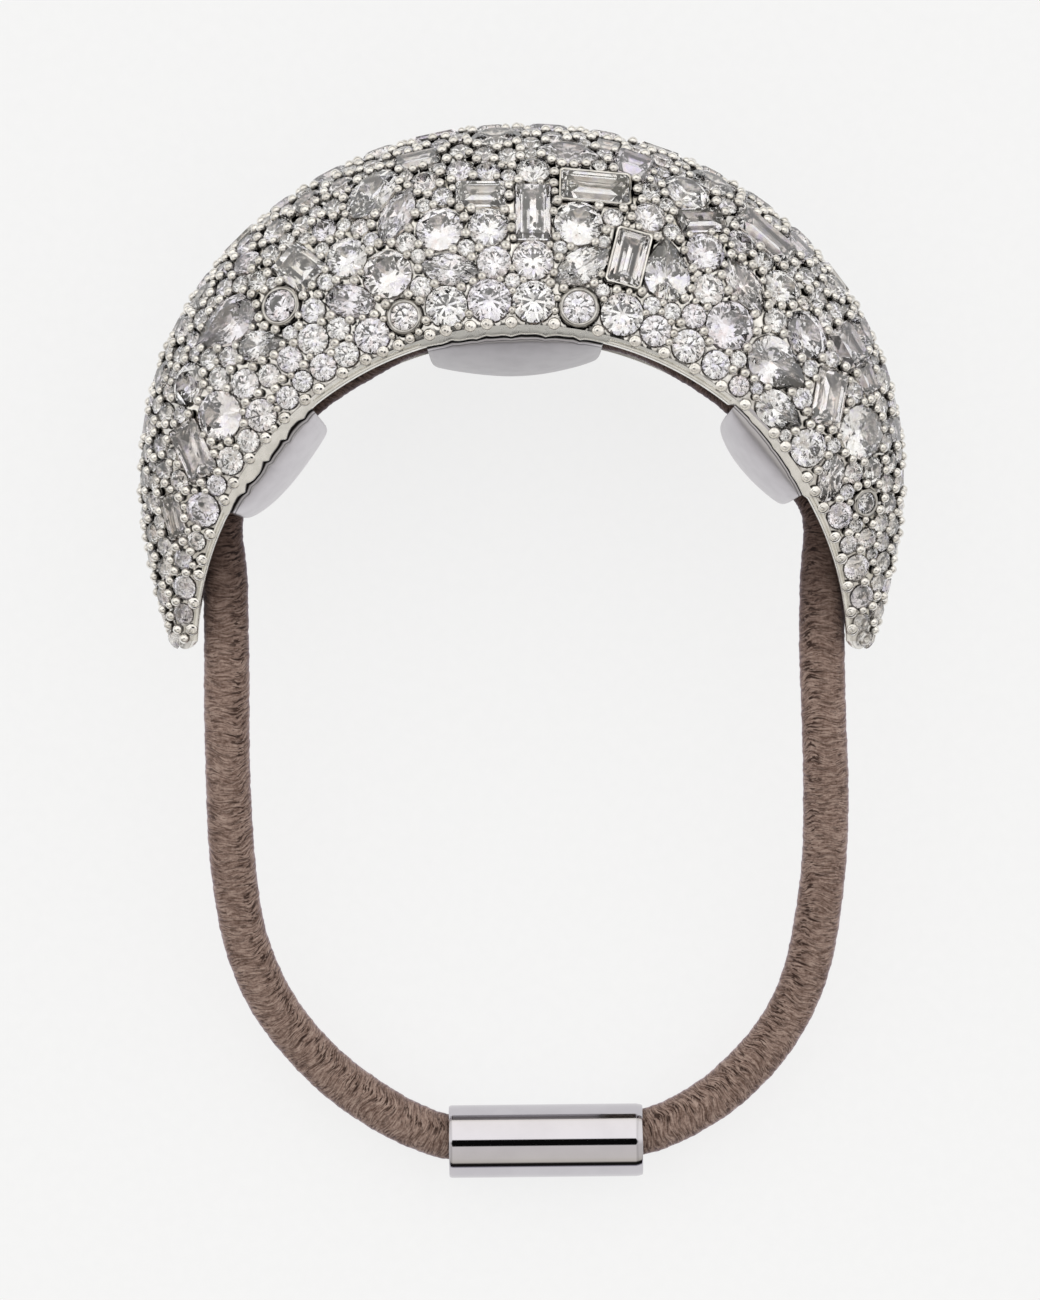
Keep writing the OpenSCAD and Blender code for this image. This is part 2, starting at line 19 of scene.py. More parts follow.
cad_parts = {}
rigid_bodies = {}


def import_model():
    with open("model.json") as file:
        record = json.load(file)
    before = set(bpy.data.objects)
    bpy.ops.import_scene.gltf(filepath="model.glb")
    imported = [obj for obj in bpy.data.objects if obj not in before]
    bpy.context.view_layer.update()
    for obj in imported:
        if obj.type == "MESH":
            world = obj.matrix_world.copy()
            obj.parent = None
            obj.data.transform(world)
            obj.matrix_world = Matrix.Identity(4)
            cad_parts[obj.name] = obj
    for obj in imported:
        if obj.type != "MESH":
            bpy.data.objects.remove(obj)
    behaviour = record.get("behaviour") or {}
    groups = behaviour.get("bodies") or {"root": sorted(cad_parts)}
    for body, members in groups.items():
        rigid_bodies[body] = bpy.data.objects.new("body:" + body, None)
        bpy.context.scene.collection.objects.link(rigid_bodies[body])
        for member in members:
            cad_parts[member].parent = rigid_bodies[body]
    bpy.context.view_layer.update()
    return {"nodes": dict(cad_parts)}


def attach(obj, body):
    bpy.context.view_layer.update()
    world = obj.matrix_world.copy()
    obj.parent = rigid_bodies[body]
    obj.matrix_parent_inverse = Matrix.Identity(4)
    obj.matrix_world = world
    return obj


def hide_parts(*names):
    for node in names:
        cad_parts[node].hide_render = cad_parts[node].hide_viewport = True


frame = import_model()

Array = np.ndarray
Form = tuple[np.ndarray, list[list[int]]]
Material = bpy.types.Material
Mesh = bpy.types.Mesh
Pair = tuple[float, float]
Piece = bpy.types.Object
Socket = bpy.types.NodeSocket
Tree = bpy.types.NodeTree
Triple = tuple[float, float, float]

LOG = logging.getLogger("hair_tie")
BODY = "root"
MM = 0.001
ROW_ORIGIN = np.array([0.0, 22.9, -13.05])  # the row's origin in loop coordinates, mm
SEED = 11
EDGE_SIDES = 24  # corners of a stone's edge where distances to it are measured
RIM_WIDTH = 0.3  # how far a bezel or frame reaches past its stone, mm
SAME_SIDE = 0.25  # how far a place may face away from a stone beside it, as a cosine
STEP_CORNER = 0.07  # what a step cut loses at its corners, as a share of its width
PEAR_BOW = (1.25, 0.8)  # a pear's fullness, and the power that draws out its point


class Slot(Enum):
    """Material slots of the record."""

    SHELL = "plated_shell"
    STONE = "clear_stone"
    ELASTIC = "covered_elastic"
    FERRULE = "ferrule_plate"


class Cut(IntEnum):
    """Cuts of stone, in the order of their patterns."""

    ROUND = 0
    PEAR = 1
    MARQUISE = 2
    STEP = 3
    LONG_STEP = 4


class Mount(Enum):
    """How a stone is held."""

    BEADS = "beads"
    BEZEL = "bezel"
    FRAME = "framed"


# mesh helpers


def to_row(points: Array) -> Array:
    """Turns loop coordinates in mm into the row's frame in metres."""
    return (np.asarray(points, float) - ROW_ORIGIN) * MM


def from_row(points: Array) -> Array:
    """Turns the row's frame in metres into loop coordinates in mm."""
    return np.asarray(points, float) / MM + ROW_ORIGIN


def unit(v: Array) -> Array:
    """Scales vectors to length 1."""
    return v / np.maximum(np.linalg.norm(v, axis=-1, keepdims=True), 1e-9)


def mix(a: Any, b: Any, k: Any) -> Any:
    """Goes from a to b as k goes from 0 to 1."""
    return a + (b - a) * k


def smooth_step(k: Array) -> Array:
    """Eases from 0 to 1 as k goes from 0 to 1."""
    k = np.clip(k, 0.0, 1.0)
    return k * k * (3 - 2 * k)


def bell(away: Any, width: float, power: int = 2) -> Any:
    """Falls from 1 towards 0 as a distance grows past a width."""
    return np.exp(-((away / width) ** power))


def run_along(line: Array) -> Array:
    """Gives how far along a line each of its points lies."""
    steps = np.linalg.norm(np.diff(line, axis=0), axis=-1)
    return np.concatenate([[0.0], np.cumsum(steps)])


def ring_angles(sides: int) -> Array:
    """Lists evenly spaced angles round a circle, radians."""
    return np.arange(sides) * 2 * np.pi / sides


def tree_of(places: Sequence[Array]) -> KDTree:
    """Sorts places so that the ones near a point are found quickly.

    Args:
        places: the places, whose numbers the tree gives back.

    Returns:
        The balanced tree.
    """
    tree = KDTree(len(places))
    for number, place in enumerate(places):
        tree.insert(place, number)
    tree.balance()
    return tree


def new_object(name: str, mesh: Mesh) -> Piece:
    """Puts a mesh in the scene as an object at the origin.

    Args:
        name: the object's name.
        mesh: its mesh.

    Returns:
        The new object.
    """
    piece = bpy.data.objects.new(name, mesh)
    bpy.context.scene.collection.objects.link(piece)
    return piece


def close_up(mesh: Mesh, merge: float) -> None:
    """Joins the points of a closed form that coincide and turns its faces outwards.

    Args:
        mesh: the form.
        merge: distance within which points are one, m.
    """
    work = bmesh.new()
    work.from_mesh(mesh)
    bmesh.ops.remove_doubles(work, verts=work.verts, dist=merge)
    bmesh.ops.recalc_face_normals(work, faces=work.faces)
    work.to_mesh(mesh)
    work.free()


def solid(
    name: str,
    points: Array,
    faces: Sequence[Sequence[int]],
    smooth: bool = False,
    closed: bool = True,
) -> Piece:
    """Makes an object from points in loop coordinates.

    Args:
        name: the piece's name.
        points: its points, mm.
        faces: its faces, as indices.
        smooth: whether it is shaded smooth.
        closed: whether it is a closed form, whose faces are turned outwards.

    Returns:
        The new object.
    """
    mesh = bpy.data.meshes.new(name)
    mesh.from_pydata(to_row(points).tolist(), [], [list(f) for f in faces])
    if closed:
        close_up(mesh, 1e-7)
    mesh.polygons.foreach_set("use_smooth", [smooth] * len(mesh.polygons))
    mesh.update()
    return new_object(name, mesh)


def grid_faces(rows: int, columns: int, wrap: bool = False) -> list[tuple[int, ...]]:
    """Lists the quads between rows of points.

    Args:
        rows: number of rows.
        columns: points in a row.
        wrap: whether each row is a closed ring.

    Returns:
        The quads, as indices into the flattened grid.
    """
    last = columns if wrap else columns - 1
    r, c = np.meshgrid(np.arange(rows - 1), np.arange(last), indexing="ij")
    a = (r * columns + c).ravel()
    b = (r * columns + (c + 1) % columns).ravel()
    return np.stack([a, b, b + columns, a + columns], -1).tolist()


def closed_faces(rows: int, columns: int) -> list[Sequence[int]]:
    """Lists the faces of a skin over closed rings, with a cap at both ends.

    Args:
        rows: number of rings.
        columns: points in a ring.

    Returns:
        The faces, as indices into the flattened rings.
    """
    faces = grid_faces(rows, columns, wrap=True)
    caps = [range(columns), range((rows - 1) * columns, rows * columns)]
    return faces + [list(cap) for cap in caps]


def capped_sweep(name: str, rings: Array) -> Piece:
    """Skins closed rings and caps both ends.

    Args:
        name: the piece's name.
        rings: points as (ring, point, xyz), mm.

    Returns:
        The closed form.
    """
    return solid(name, rings.reshape(-1, 3), closed_faces(*rings.shape[:2]), smooth=True)


def sharpen(piece: Piece, degrees: float) -> None:
    """Marks edges sharper than an angle as sharp.

    Args:
        piece: a smooth-shaded object.
        degrees: the smallest angle between two faces that shows as an edge.
    """
    piece.data.set_sharp_from_angle(angle=np.radians(degrees))


def paint_points(mesh: Mesh, name: str, kind: str, values: Array) -> None:
    """Stores an attribute on a mesh's points.

    Args:
        mesh: the mesh.
        name: the attribute's name.
        kind: its data type.
        values: one row for each point.
    """
    layer = mesh.attributes.new(name, kind, "POINT")
    key = {"FLOAT_VECTOR": "vector", "FLOAT_COLOR": "color"}.get(kind, "value")
    layer.data.foreach_set(key, np.ascontiguousarray(values).ravel())


def finish_piece(
    piece: Piece, material: Optional[Material], replaces: Sequence[str] = ()
) -> Piece:
    """Dresses a piece and ties it to the frame.

    Args:
        piece: the finished object.
        material: its material, or None where it already has one.
        replaces: names of the CAD nodes that it stands for.

    Returns:
        The same object.
    """
    if material is not None:
        piece.data.materials.clear()
        piece.data.materials.append(material)
    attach(piece, BODY)
    if replaces:
        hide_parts(*replaces)
    LOG.info("%s: %d faces", piece.name, len(piece.data.polygons))
    return piece


# nodes


def linear(hex_colour: str, alpha: float = 1.0) -> tuple[float, float, float, float]:
    """Turns an sRGB hex colour into linear values.

    Args:
        hex_colour: six hex digits after a hash.
        alpha: the fourth value.

    Returns:
        Red, green, blue and alpha.
    """
    parts = [int(hex_colour[k : k + 2], 16) / 255 for k in (1, 3, 5)]
    red, green, blue = (
        p / 12.92 if p <= 0.04045 else ((p + 0.055) / 1.055) ** 2.4 for p in parts
    )
    return red, green, blue, alpha


def connect(tree: Tree, node: bpy.types.Node, values: dict[Any, Any]) -> None:
    """Sets or links a node's inputs.

    Args:
        tree: the node tree.
        node: the node.
        values: input names or numbers, each with a plain value or an output to link.
    """
    for key, value in values.items():
        if isinstance(value, Socket):
            tree.links.new(value, node.inputs[key])
        else:
            node.inputs[key].default_value = value


def add_node(
    tree: Tree, kind: str, inputs: Optional[dict[Any, Any]] = None, **settings: Any
) -> bpy.types.Node:
    """Adds a node with its settings and links.

    Args:
        tree: the node tree.
        kind: the node's type name.
        inputs: its inputs, as for connect.
        **settings: properties of the node itself.

    Returns:
        The new node.
    """
    node = tree.nodes.new(kind)
    for key, value in settings.items():
        setattr(node, key, value)
    connect(tree, node, inputs or {})
    return node


def add_ramp(
    tree: Tree,
    factor: Socket,
    stops: Sequence[tuple[float, Any]],
    interpolation: str = "LINEAR",
) -> Socket:
    """Adds a colour ramp.

    Args:
        tree: the node tree.
        factor: the output that drives it.
        stops: positions, each with a hex colour or a grey level.
        interpolation: how it goes from stop to stop.

    Returns:
        The ramp's colour output.
    """
    node = add_node(tree, "ShaderNodeValToRGB", {"Fac": factor})
    node.color_ramp.interpolation = interpolation
    elements = node.color_ramp.elements
    while len(elements) < len(stops):
        elements.new(0.5)
    for element, (place, colour) in zip(elements, stops):
        element.position = place
        element.color = (
            linear(colour) if isinstance(colour, str) else (colour, colour, colour, 1)
        )
    return node.outputs["Color"]


def place_on(tree: Tree) -> Socket:
    """Reads the place on the piece, m."""
    return add_node(tree, "ShaderNodeTexCoord").outputs["Object"]


def attribute(tree: Tree, name: str, output: str = "Fac") -> Socket:
    """Reads an attribute that the piece carries."""
    return add_node(tree, "ShaderNodeAttribute", attribute_name=name).outputs[output]


def noise(
    tree: Tree, place: Socket, size: float, detail: float = 2.0, roughness: float = 0.5
) -> Socket:
    """Adds soft noise.

    Args:
        tree: the node tree.
        place: the coordinates that it reads.
        size: the size of its patches, in the coordinates' unit.
        detail: how many finer layers it has.
        roughness: how strong those are.

    Returns:
        Its level, from 0 to 1.
    """
    values = {"Vector": place, "Scale": 1 / size, "Detail": detail, "Roughness": roughness}
    return add_node(tree, "ShaderNodeTexNoise", values).outputs["Fac"]


def remap(tree: Tree, value: Socket, source: Pair, target: Pair = (0.0, 1.0)) -> Socket:
    """Stretches one range of values onto another.

    Args:
        tree: the node tree.
        value: the output that is stretched.
        source: the range that it comes from.
        target: the range that it goes to.

    Returns:
        The stretched value.
    """
    names = ("From Min", "From Max", "To Min", "To Max")
    limits = dict(zip(names, source + target))
    return add_node(tree, "ShaderNodeMapRange", {"Value": value, **limits}).outputs["Result"]


def maths(tree: Tree, operation: str, first: Any, second: Any = 0.0) -> Socket:
    """Works out a value from one or two others."""
    values = {0: first, 1: second}
    return add_node(tree, "ShaderNodeMath", values, operation=operation).outputs[0]


def blend(tree: Tree, share: Any, first: Any, second: Any, way: str = "MIX") -> Socket:
    """Mixes two colours.

    Args:
        tree: the node tree.
        share: how much of the second colour there is, from 0 to 1.
        first: the first colour.
        second: the second colour.
        way: how they are put together.

    Returns:
        The mixed colour.
    """
    values = {0: share, 6: first, 7: second}
    return add_node(tree, "ShaderNodeMix", values, data_type="RGBA", blend_type=way).outputs[2]


def new_material(name: str) -> tuple[Material, Tree, Any]:
    """Starts a material.

    Args:
        name: the material's name.

    Returns:
        The material, its node tree and its Principled shader.
    """
    material = bpy.data.materials.new(name)
    material.use_nodes = True
    tree = material.node_tree
    return material, tree, tree.nodes["Principled BSDF"]


@dataclass(frozen=True)
class CubicZirconia:
    """Faceted and polished colourless zirconia: clear, very bright, with a faint lavender cast."""

    clear: str = "#FFFFFF"
    lavender: str = "#E4E1F6"
    rose: str = "#F8ECE8"
    ior: float = 2.16
    clearness: float = 0.985
    patch_mm: float = 0.8
    wear: float = 0.03
    wear_mm: float = 0.4

    def make(self) -> Material:
        """Builds the material; its tint comes from each stone and from patches inside it.

        Returns:
            The material.
        """
        material, tree, shader = new_material("cubic_zirconia")
        place = place_on(tree)
        patches = add_ramp(
            tree,
            noise(tree, place, self.patch_mm * MM, 1.0),
            [(0.3, self.rose), (0.42, self.clear), (0.56, self.clear), (0.7, self.lavender)],
        )
        worn = noise(tree, place, self.wear_mm * MM)
        stone = attribute(tree, "tint", "Color")
        values = {
            "Base Color": blend(tree, 1.0, stone, patches, "MULTIPLY"),
            "Roughness": remap(tree, worn, (0.0, 1.0), (0.0, self.wear)),
            "IOR": self.ior,
            "Transmission Weight": self.clearness,
        }
        connect(tree, shader, values)
        return material


@dataclass(frozen=True)
class PolishedPlating:
    """Rhodium-coloured plating on cast brass, polished after setting: warm, soft-edged mirror."""

    name: str = "polished_plating"
    bright: str = "#EDEAE5"
    dull: str = "#CBC7C1"
    roughness: Pair = (0.06, 0.14)
    patch_mm: float = 0.8
    bump: float = 0.15
    bump_mm: float = 0.05
    shade_colour: str = "#14110F"

    def make(self) -> Material:
        """Builds the material, with faint casting waves under the polish, and the painted shade
        and painted dark reflections that a piece carries in its seams and hollows.

        Returns:
            The material.
        """
        material, tree, shader = new_material(self.name)
        waves = noise(tree, place_on(tree), self.patch_mm * MM, 3.0)
        colour = add_ramp(tree, waves, [(0.35, self.dull), (0.6, self.bright)])
        smooth, rough = self.roughness
        height = {"Height": waves, "Strength": self.bump, "Distance": self.bump_mm * MM}
        values = {
            # painted shade: mixes the colour towards the dark shade colour where a piece carries
            # it
            "Base Color": blend(tree, attribute(tree, "tarnish"), colour, linear(self.shade_colour)),
            "Roughness": remap(tree, waves, (0.3, 0.7), (rough, smooth)),
            "Normal": add_node(tree, "ShaderNodeBump", height).outputs["Normal"],
            "Metallic": 1.0,
        }
        connect(tree, shader, values)
        return material


@dataclass(frozen=True)
class WovenElastic:
    """Polyester yarn wound over rubber: matt taupe threads, with painted shade in the gaps where
    the turns part, a painted shadow of the shell over the cord near and under it, and a pale
    lavender bloom of fibres at the edges. The threads and the painted-dark ticks between them are
    each as wide and as long as their two sizes say."""

    # gap: the colour of the painted shade in the parted gaps and the ticks
    gap: str = "#3B2B25"
    shade: str = "#675249"
    base: str = "#8D776D"
    ridge: str = "#B39D92"
    bloom: str = "#EDE4F8"
    shadow_tint: str = "#A09A9A"
    thread_mm: Pair = (0.13, 1.1)
    tick_mm: Pair = (0.17, 0.75)
    fluff_mm: float = 0.24
    fluff_share: float = 0.4
    relief_mm: float = 0.12

    def streaks(self, tree: Tree, size: Pair) -> Socket:
        """Draws streaks that run round the cord with the yarn.

        Args:
            tree: the node tree.
            size: their width and length, mm.

        Returns:
            Their level, from 0 to 1.
        """
        wide, long = size
        values = {
            "Vector": attribute(tree, "weave", "Vector"),
            "Scale": (1 / wide, 1 / long, 1 / long),
        }
        spread = add_node(tree, "ShaderNodeMapping", values).outputs["Vector"]
        return noise(tree, spread, 1.0)

    def make(self) -> Material:
        """Builds the material from the turns and the winding stored on the cord.

        Returns:
            The material.
        """
        material, tree, shader = new_material("woven_elastic")
        threads = self.streaks(tree, self.thread_mm)
        fluff = noise(tree, place_on(tree), self.fluff_mm * MM, 3.0, 0.75)
        mixed = {0: self.fluff_share, 2: threads, 3: fluff}
        grain = add_node(tree, "ShaderNodeMix", mixed, data_type="FLOAT").outputs[0]
        yarn = add_ramp(
            tree,
            remap(tree, grain, (0.36, 0.64)),
            [(0.05, self.shade), (0.45, self.base), (0.95, self.ridge)],
        )
        # painted shade: the ticks between the threads and the gaps where the turns part are
        # darkened to the gap colour
        streaks = self.streaks(tree, self.tick_mm)
        ticks = add_ramp(tree, streaks, [(0.39, 1.0), (0.46, 0.0)])
        ticks = maths(tree, "MULTIPLY", ticks, attribute(tree, "loose"))
        parted = add_ramp(tree, attribute(tree, "rib"), [(0.12, 0.0), (0.6, 1.0)])
        dark = maths(tree, "MAXIMUM", parted, ticks)
        colour = blend(tree, dark, yarn, linear(self.gap))
        # painted shadow of the shell, multiplied over the cord near and under it
        soil = attribute(tree, "soil")
        height = {"Height": grain, "Strength": 0.9, "Distance": self.relief_mm * MM}
        values = {
            "Base Color": blend(tree, soil, colour, linear(self.shadow_tint), "MULTIPLY"),
            "Normal": add_node(tree, "ShaderNodeBump", height).outputs["Normal"],
            "Roughness": 0.9,
            "Specular IOR Level": 0.2,
            "Sheen Weight": 1.0,
            "Sheen Roughness": 0.3,
            "Sheen Tint": linear(self.bloom),
        }
        connect(tree, shader, values)
        return material


@dataclass(frozen=True)
class PaleFloor:
    """Opal acrylic board, lit mostly from below, so that shadows on it stay faint."""

    board: str = "#6E6E6E"
    grain: str = "#6A6A6A"
    light: str = "#FFFFFF"
    glow: float = 0.79
    grains_per_m: float = 900.0

    def make(self) -> Material:
        """Builds the material, with a grain that only just shows.

        Returns:
            The material.
        """
        material, tree, shader = new_material("pale_floor")
        grains = noise(tree, place_on(tree), 1 / self.grains_per_m)
        values = {
            "Base Color": add_ramp(tree, grains, [(0.3, self.grain), (0.7, self.board)]),
            "Emission Color": linear(self.light),
            "Emission Strength": self.glow,
            "Roughness": 0.9,
            "Specular IOR Level": 0.0,
        }
        connect(tree, shader, values)
        return material


# the dome


@dataclass(frozen=True)
class Dome:
    """The crescent's surface. Stations run along the rim in degrees; f is 90 at the front rim,
    0 at the crest and -90 at the back rim; depth is millimetres below the tables. Rounding
    lists stations close to an end, each with the share that is left of its cross-section."""

    loop_rx: float = 28.2
    loop_ry: float = 27.4
    crest_rx: float = 33.3
    crest_lift: float = 15.8
    crest_ry: float = 30.1
    crest_turn: float = 1.325
    end_swell: float = 0.9
    end_reach: float = 7.0
    ratio: float = 0.71
    full_reach: float = 6.0
    lip_w: float = 0.9
    border_share: float = 0.8
    lip_fade: Pair = (0.4, 20.0)
    widest_lip: float = 18.0
    girdle: float = 0.55
    thinnest: float = 0.15
    rounding: tuple[Pair, ...] = (
        (0.85, 0.02), (0.92, 0.36), (1.15, 0.6), (1.5, 0.8), (1.9, 0.93),
    )

    def rim(self, t: Array) -> Array:
        """Gives the rim's points in the plane of the loop."""
        a = np.radians(t)
        return np.stack([self.loop_rx * np.cos(a), self.loop_ry * np.sin(a)], -1)

    def spoke(self, t: Array) -> Array:
        """Gives the way from the rim to the crest.

        Args:
            t: stations, degrees.

        Returns:
            The ways in the plane of the loop, mm.
        """
        t = np.asarray(t, float)
        p = np.radians(90 + (t - 90) * self.crest_turn)
        up = np.where(np.sin(p) > 0, self.crest_ry, self.crest_rx)
        swell = self.end_swell * np.exp(-np.minimum(t, 180 - t) / self.end_reach)
        crest = np.stack(
            [
                self.crest_rx * np.cos(p) + swell * np.sign(90 - t),
                self.crest_lift + up * np.sin(p),
            ],
            -1,
        )
        return crest - self.rim(t)

    def reach(self, t: Array) -> Array:
        """Gives the height of the cross-section at stations."""
        return np.linalg.norm(self.spoke(t), axis=-1)

    def ease(self, t: Array) -> Array:
        """Gives the share in which depths are drawn in towards the ends."""
        return np.minimum(1.0, self.reach(t) / self.full_reach)

    def skin(self, t: Any, f: Any, depth: Any, shrink: Any = 1.0) -> Array:
        """Gives points of the dome.

        Args:
            t: stations, degrees.
            f: angles from the crest, degrees.
            depth: depths below the tables, mm.
            shrink: size of the cross-section, as a share.

        Returns:
            Points in loop coordinates.
        """
        t, f, depth, shrink = np.broadcast_arrays(t, f, depth, shrink)
        s = self.spoke(t)
        a = np.linalg.norm(s, axis=-1)
        low = np.minimum(1.0, a / self.full_reach) * depth
        high = np.maximum(self.thinnest, (a - low) * shrink)
        deep = np.maximum(self.thinnest, (self.ratio * a - low) * shrink)
        c, z = np.cos(np.radians(f)), np.sin(np.radians(f))
        at = self.rim(t) + s * ((1 - shrink) / 2 + high * c / a)[..., None]
        return np.concatenate([at, (deep * z)[..., None]], -1)

    def normal(self, t: Any, f: Any) -> Array:
        """Gives outward normals at the girdles' depth.

        Args:
            t: stations, degrees.
            f: angles from the crest, degrees.

        Returns:
            Unit vectors.
        """
        d, e = self.girdle, 0.2
        along = self.skin(t + e, f, d) - self.skin(t - e, f, d)
        up = self.skin(t, f + e, d) - self.skin(t, f - e, d)
        return unit(np.cross(along, up))

    def locate(self, points: Array, depth: float) -> tuple[Array, Array]:
        """Finds stations and angles of points at a known depth.

        Args:
            points: loop coordinates, mm.
            depth: their depth below the tables.

        Returns:
            Stations and angles from the crest, degrees.
        """
        low, high = np.zeros(len(points)), np.full(len(points), 180.0)
        for _ in range(22):
            mid = (low + high) / 2
            s, q = self.spoke(mid), points[:, :2] - self.rim(mid)
            beyond = s[:, 0] * q[:, 1] - s[:, 1] * q[:, 0] > 0
            low, high = np.where(beyond, mid, low), np.where(beyond, high, mid)
        t = (low + high) / 2
        s = self.spoke(t)
        a = np.linalg.norm(s, axis=-1)
        sunk = self.ease(t) * depth
        share = np.sum((points[:, :2] - self.rim(t)) * s, -1) / a / (a - sunk)
        rise = points[:, 2] / (self.ratio * a - sunk)
        return t, np.degrees(np.arctan2(rise, np.maximum(share, 1e-6)))

    def lip_angle(self, t: Array) -> Array:
        """Gives the angle that the plain border takes, which narrows towards the ends.

        Args:
            t: stations, degrees.

        Returns:
            Angles, degrees.
        """
        a = self.reach(t)
        least, full = self.lip_fade
        width = self.lip_w * np.minimum(1.0, least + a / full)
        return self.border_share * np.minimum(self.widest_lip, np.degrees(width / a))

    def stations(self, spacing: float) -> tuple[Array, Array]:
        """Lists stations evenly spaced along the crest, with the rounding of the two ends.

        Args:
            spacing: distance between stations at the crest, mm.

        Returns:
            Stations and the share by which each cross-section is drawn in.
        """
        fine = np.linspace(2.0, 178.0, 1500)
        run = run_along(self.skin(fine, 0.0, 0.0))
        t = np.interp(np.linspace(0, run[-1], int(run[-1] / spacing)), run, fine)
        near, left = np.array(self.rounding).T
        shrink = np.concatenate([left, np.ones(len(t)), left[::-1]])
        return np.concatenate([near, t, 180 - near[::-1]]), shrink


# stones


@dataclass
class Stone:
    """A stone as it sits in the dome."""

    name: str
    cut: Cut
    mount: Mount
    length: float
    width: float
    place: Array
    axes: Array  # rows: along, across, out of the surface
    station: float
    tint: tuple[float, float, float, float] = (1.0, 1.0, 1.0, 1.0)

    @property
    def front(self) -> bool:
        """Tells whether it belongs to the front."""
        return self.place[2] >= -0.5

    def edge(self, sides: int, grow: float = 0.0) -> Array:
        """Gives its girdle as points in its own plane, mm."""
        return girdle_line(self.cut, self.length + 2 * grow, self.width + 2 * grow, sides)

    def local(self, points: Array) -> Array:
        """Turns loop coordinates into the stone's own."""
        return (points - self.place) @ self.axes.T

    def world(self, points: Array) -> Array:
        """Turns the stone's own coordinates into the loop's."""
        return self.place + points @ self.axes


def girdle_line(cut: Cut, length: float, width: float, sides: int) -> Array:
    """Draws a girdle with its long axis along X and a pear's point at +X.

    Args:
        cut: the stone's cut.
        length: along X, mm.
        width: along Y, mm.
        sides: number of points, which a step cut takes as 8.

    Returns:
        Points of the outline, anticlockwise.
    """
    x, y = length / 2, width / 2
    if cut in (Cut.STEP, Cut.LONG_STEP):
        c = STEP_CORNER * width
        quarter = [(x, y - c), (x - c, y)]
        return np.array(
            quarter
            + [(-a, b) for a, b in quarter[::-1]]
            + [(-a, -b) for a, b in quarter]
            + [(a, -b) for a, b in quarter[::-1]]
        )
    a = ring_angles(sides)
    if cut == Cut.PEAR:
        full, power = PEAR_BOW
        side = full * y * np.sin(a) * np.abs(np.sin(a / 2)) ** power
    elif cut == Cut.MARQUISE:
        r = (length**2 + width**2) / (4 * width)
        bow = np.sqrt(np.maximum(0, r * r - (x * np.cos(a)) ** 2)) - r + y
        side = np.where(a < np.pi - 1e-6, bow, -bow)
    else:
        side = y * np.sin(a)
    return np.stack([x * np.cos(a), side], -1)


@dataclass(frozen=True)
class BrilliantCut:
    """Table, stars, kites and halves over mains and lower halves, as on a full-cut stone."""

    table: float = 0.56
    star: float = 0.8
    lower: float = 0.24
    sides: int = 16

    def build(self, edge: Array, crown: float, pavilion: float, centre: float = 0.0) -> Form:
        """Cuts a stone on a girdle.

        Args:
            edge: sixteen points of the girdle.
            crown: height of the table over the girdle.
            pavilion: depth of the culet below it.
            centre: place of the culet along X.

        Returns:
            Points and faces.
        """
        n, half = self.sides, self.sides // 2
        lean = np.cos(np.pi / half)
        mid = np.array([centre, 0.0])

        def ring(picks: Array, share: float, z: float) -> Array:
            """Draws a ring inside the girdle."""
            flat = mid + (edge[picks] - mid) * share
            return np.column_stack([flat, np.full(len(flat), z)])

        even, odd = np.arange(0, n, 2), np.arange(1, n, 2)
        top = ring(even, self.table, crown)
        star = ring(odd, self.star, crown * (1 - self.star * lean) / (1 - self.table))
        girdle = ring(np.arange(n), 1.0, 0.0)
        low = ring(odd, self.lower, -pavilion * (1 - self.lower * lean))
        points = np.vstack([top, star, girdle, low, [[centre, 0.0, -pavilion]]])
        s, g, p = half, 2 * half, 2 * half + n
        faces: list[list[int]] = [list(range(half))]
        for k in range(half):
            after, before = (k + 1) % half, (k - 1) % half
            a, b, c = g + 2 * k, g + 2 * k + 1, g + (2 * k + 2) % n
            faces += [
                [k, s + k, after],
                [k, s + before, a, s + k],
                [s + k, a, b],
                [s + k, b, c],
                [p + k, b, a],
                [p + k, c, b],
                [p + half, p + k, a, p + before],
            ]
        return points, faces


@dataclass(frozen=True)
class StepCut:
    """Long flat steps on the crown and below the girdle, as on a baguette."""

    crown_steps: tuple[Pair, ...] = ((0.14, 1.0),)
    lower_steps: tuple[Pair, ...] = ((0.2, 0.52), (0.499, 1.0))

    def build(self, length: float, width: float, crown: float, pavilion: float) -> Form:
        """Cuts a stone.

        Args:
            length: along X.
            width: along Y.
            crown: height of the table over the girdle.
            pavilion: depth of the keel below it.

        Returns:
            Points and faces.
        """
        levels = [(i, crown * h) for i, h in self.crown_steps[::-1]]
        levels += [(0.0, 0.0)] + [(i, -pavilion * h) for i, h in self.lower_steps]
        rings = []
        for inset, z in levels:
            cut_in = 2 * inset * width
            flat = girdle_line(Cut.STEP, length - cut_in, width - cut_in, 8)
            rings.append(np.column_stack([flat, np.full(8, z)]))
        return np.vstack(rings), closed_faces(len(rings), 8)


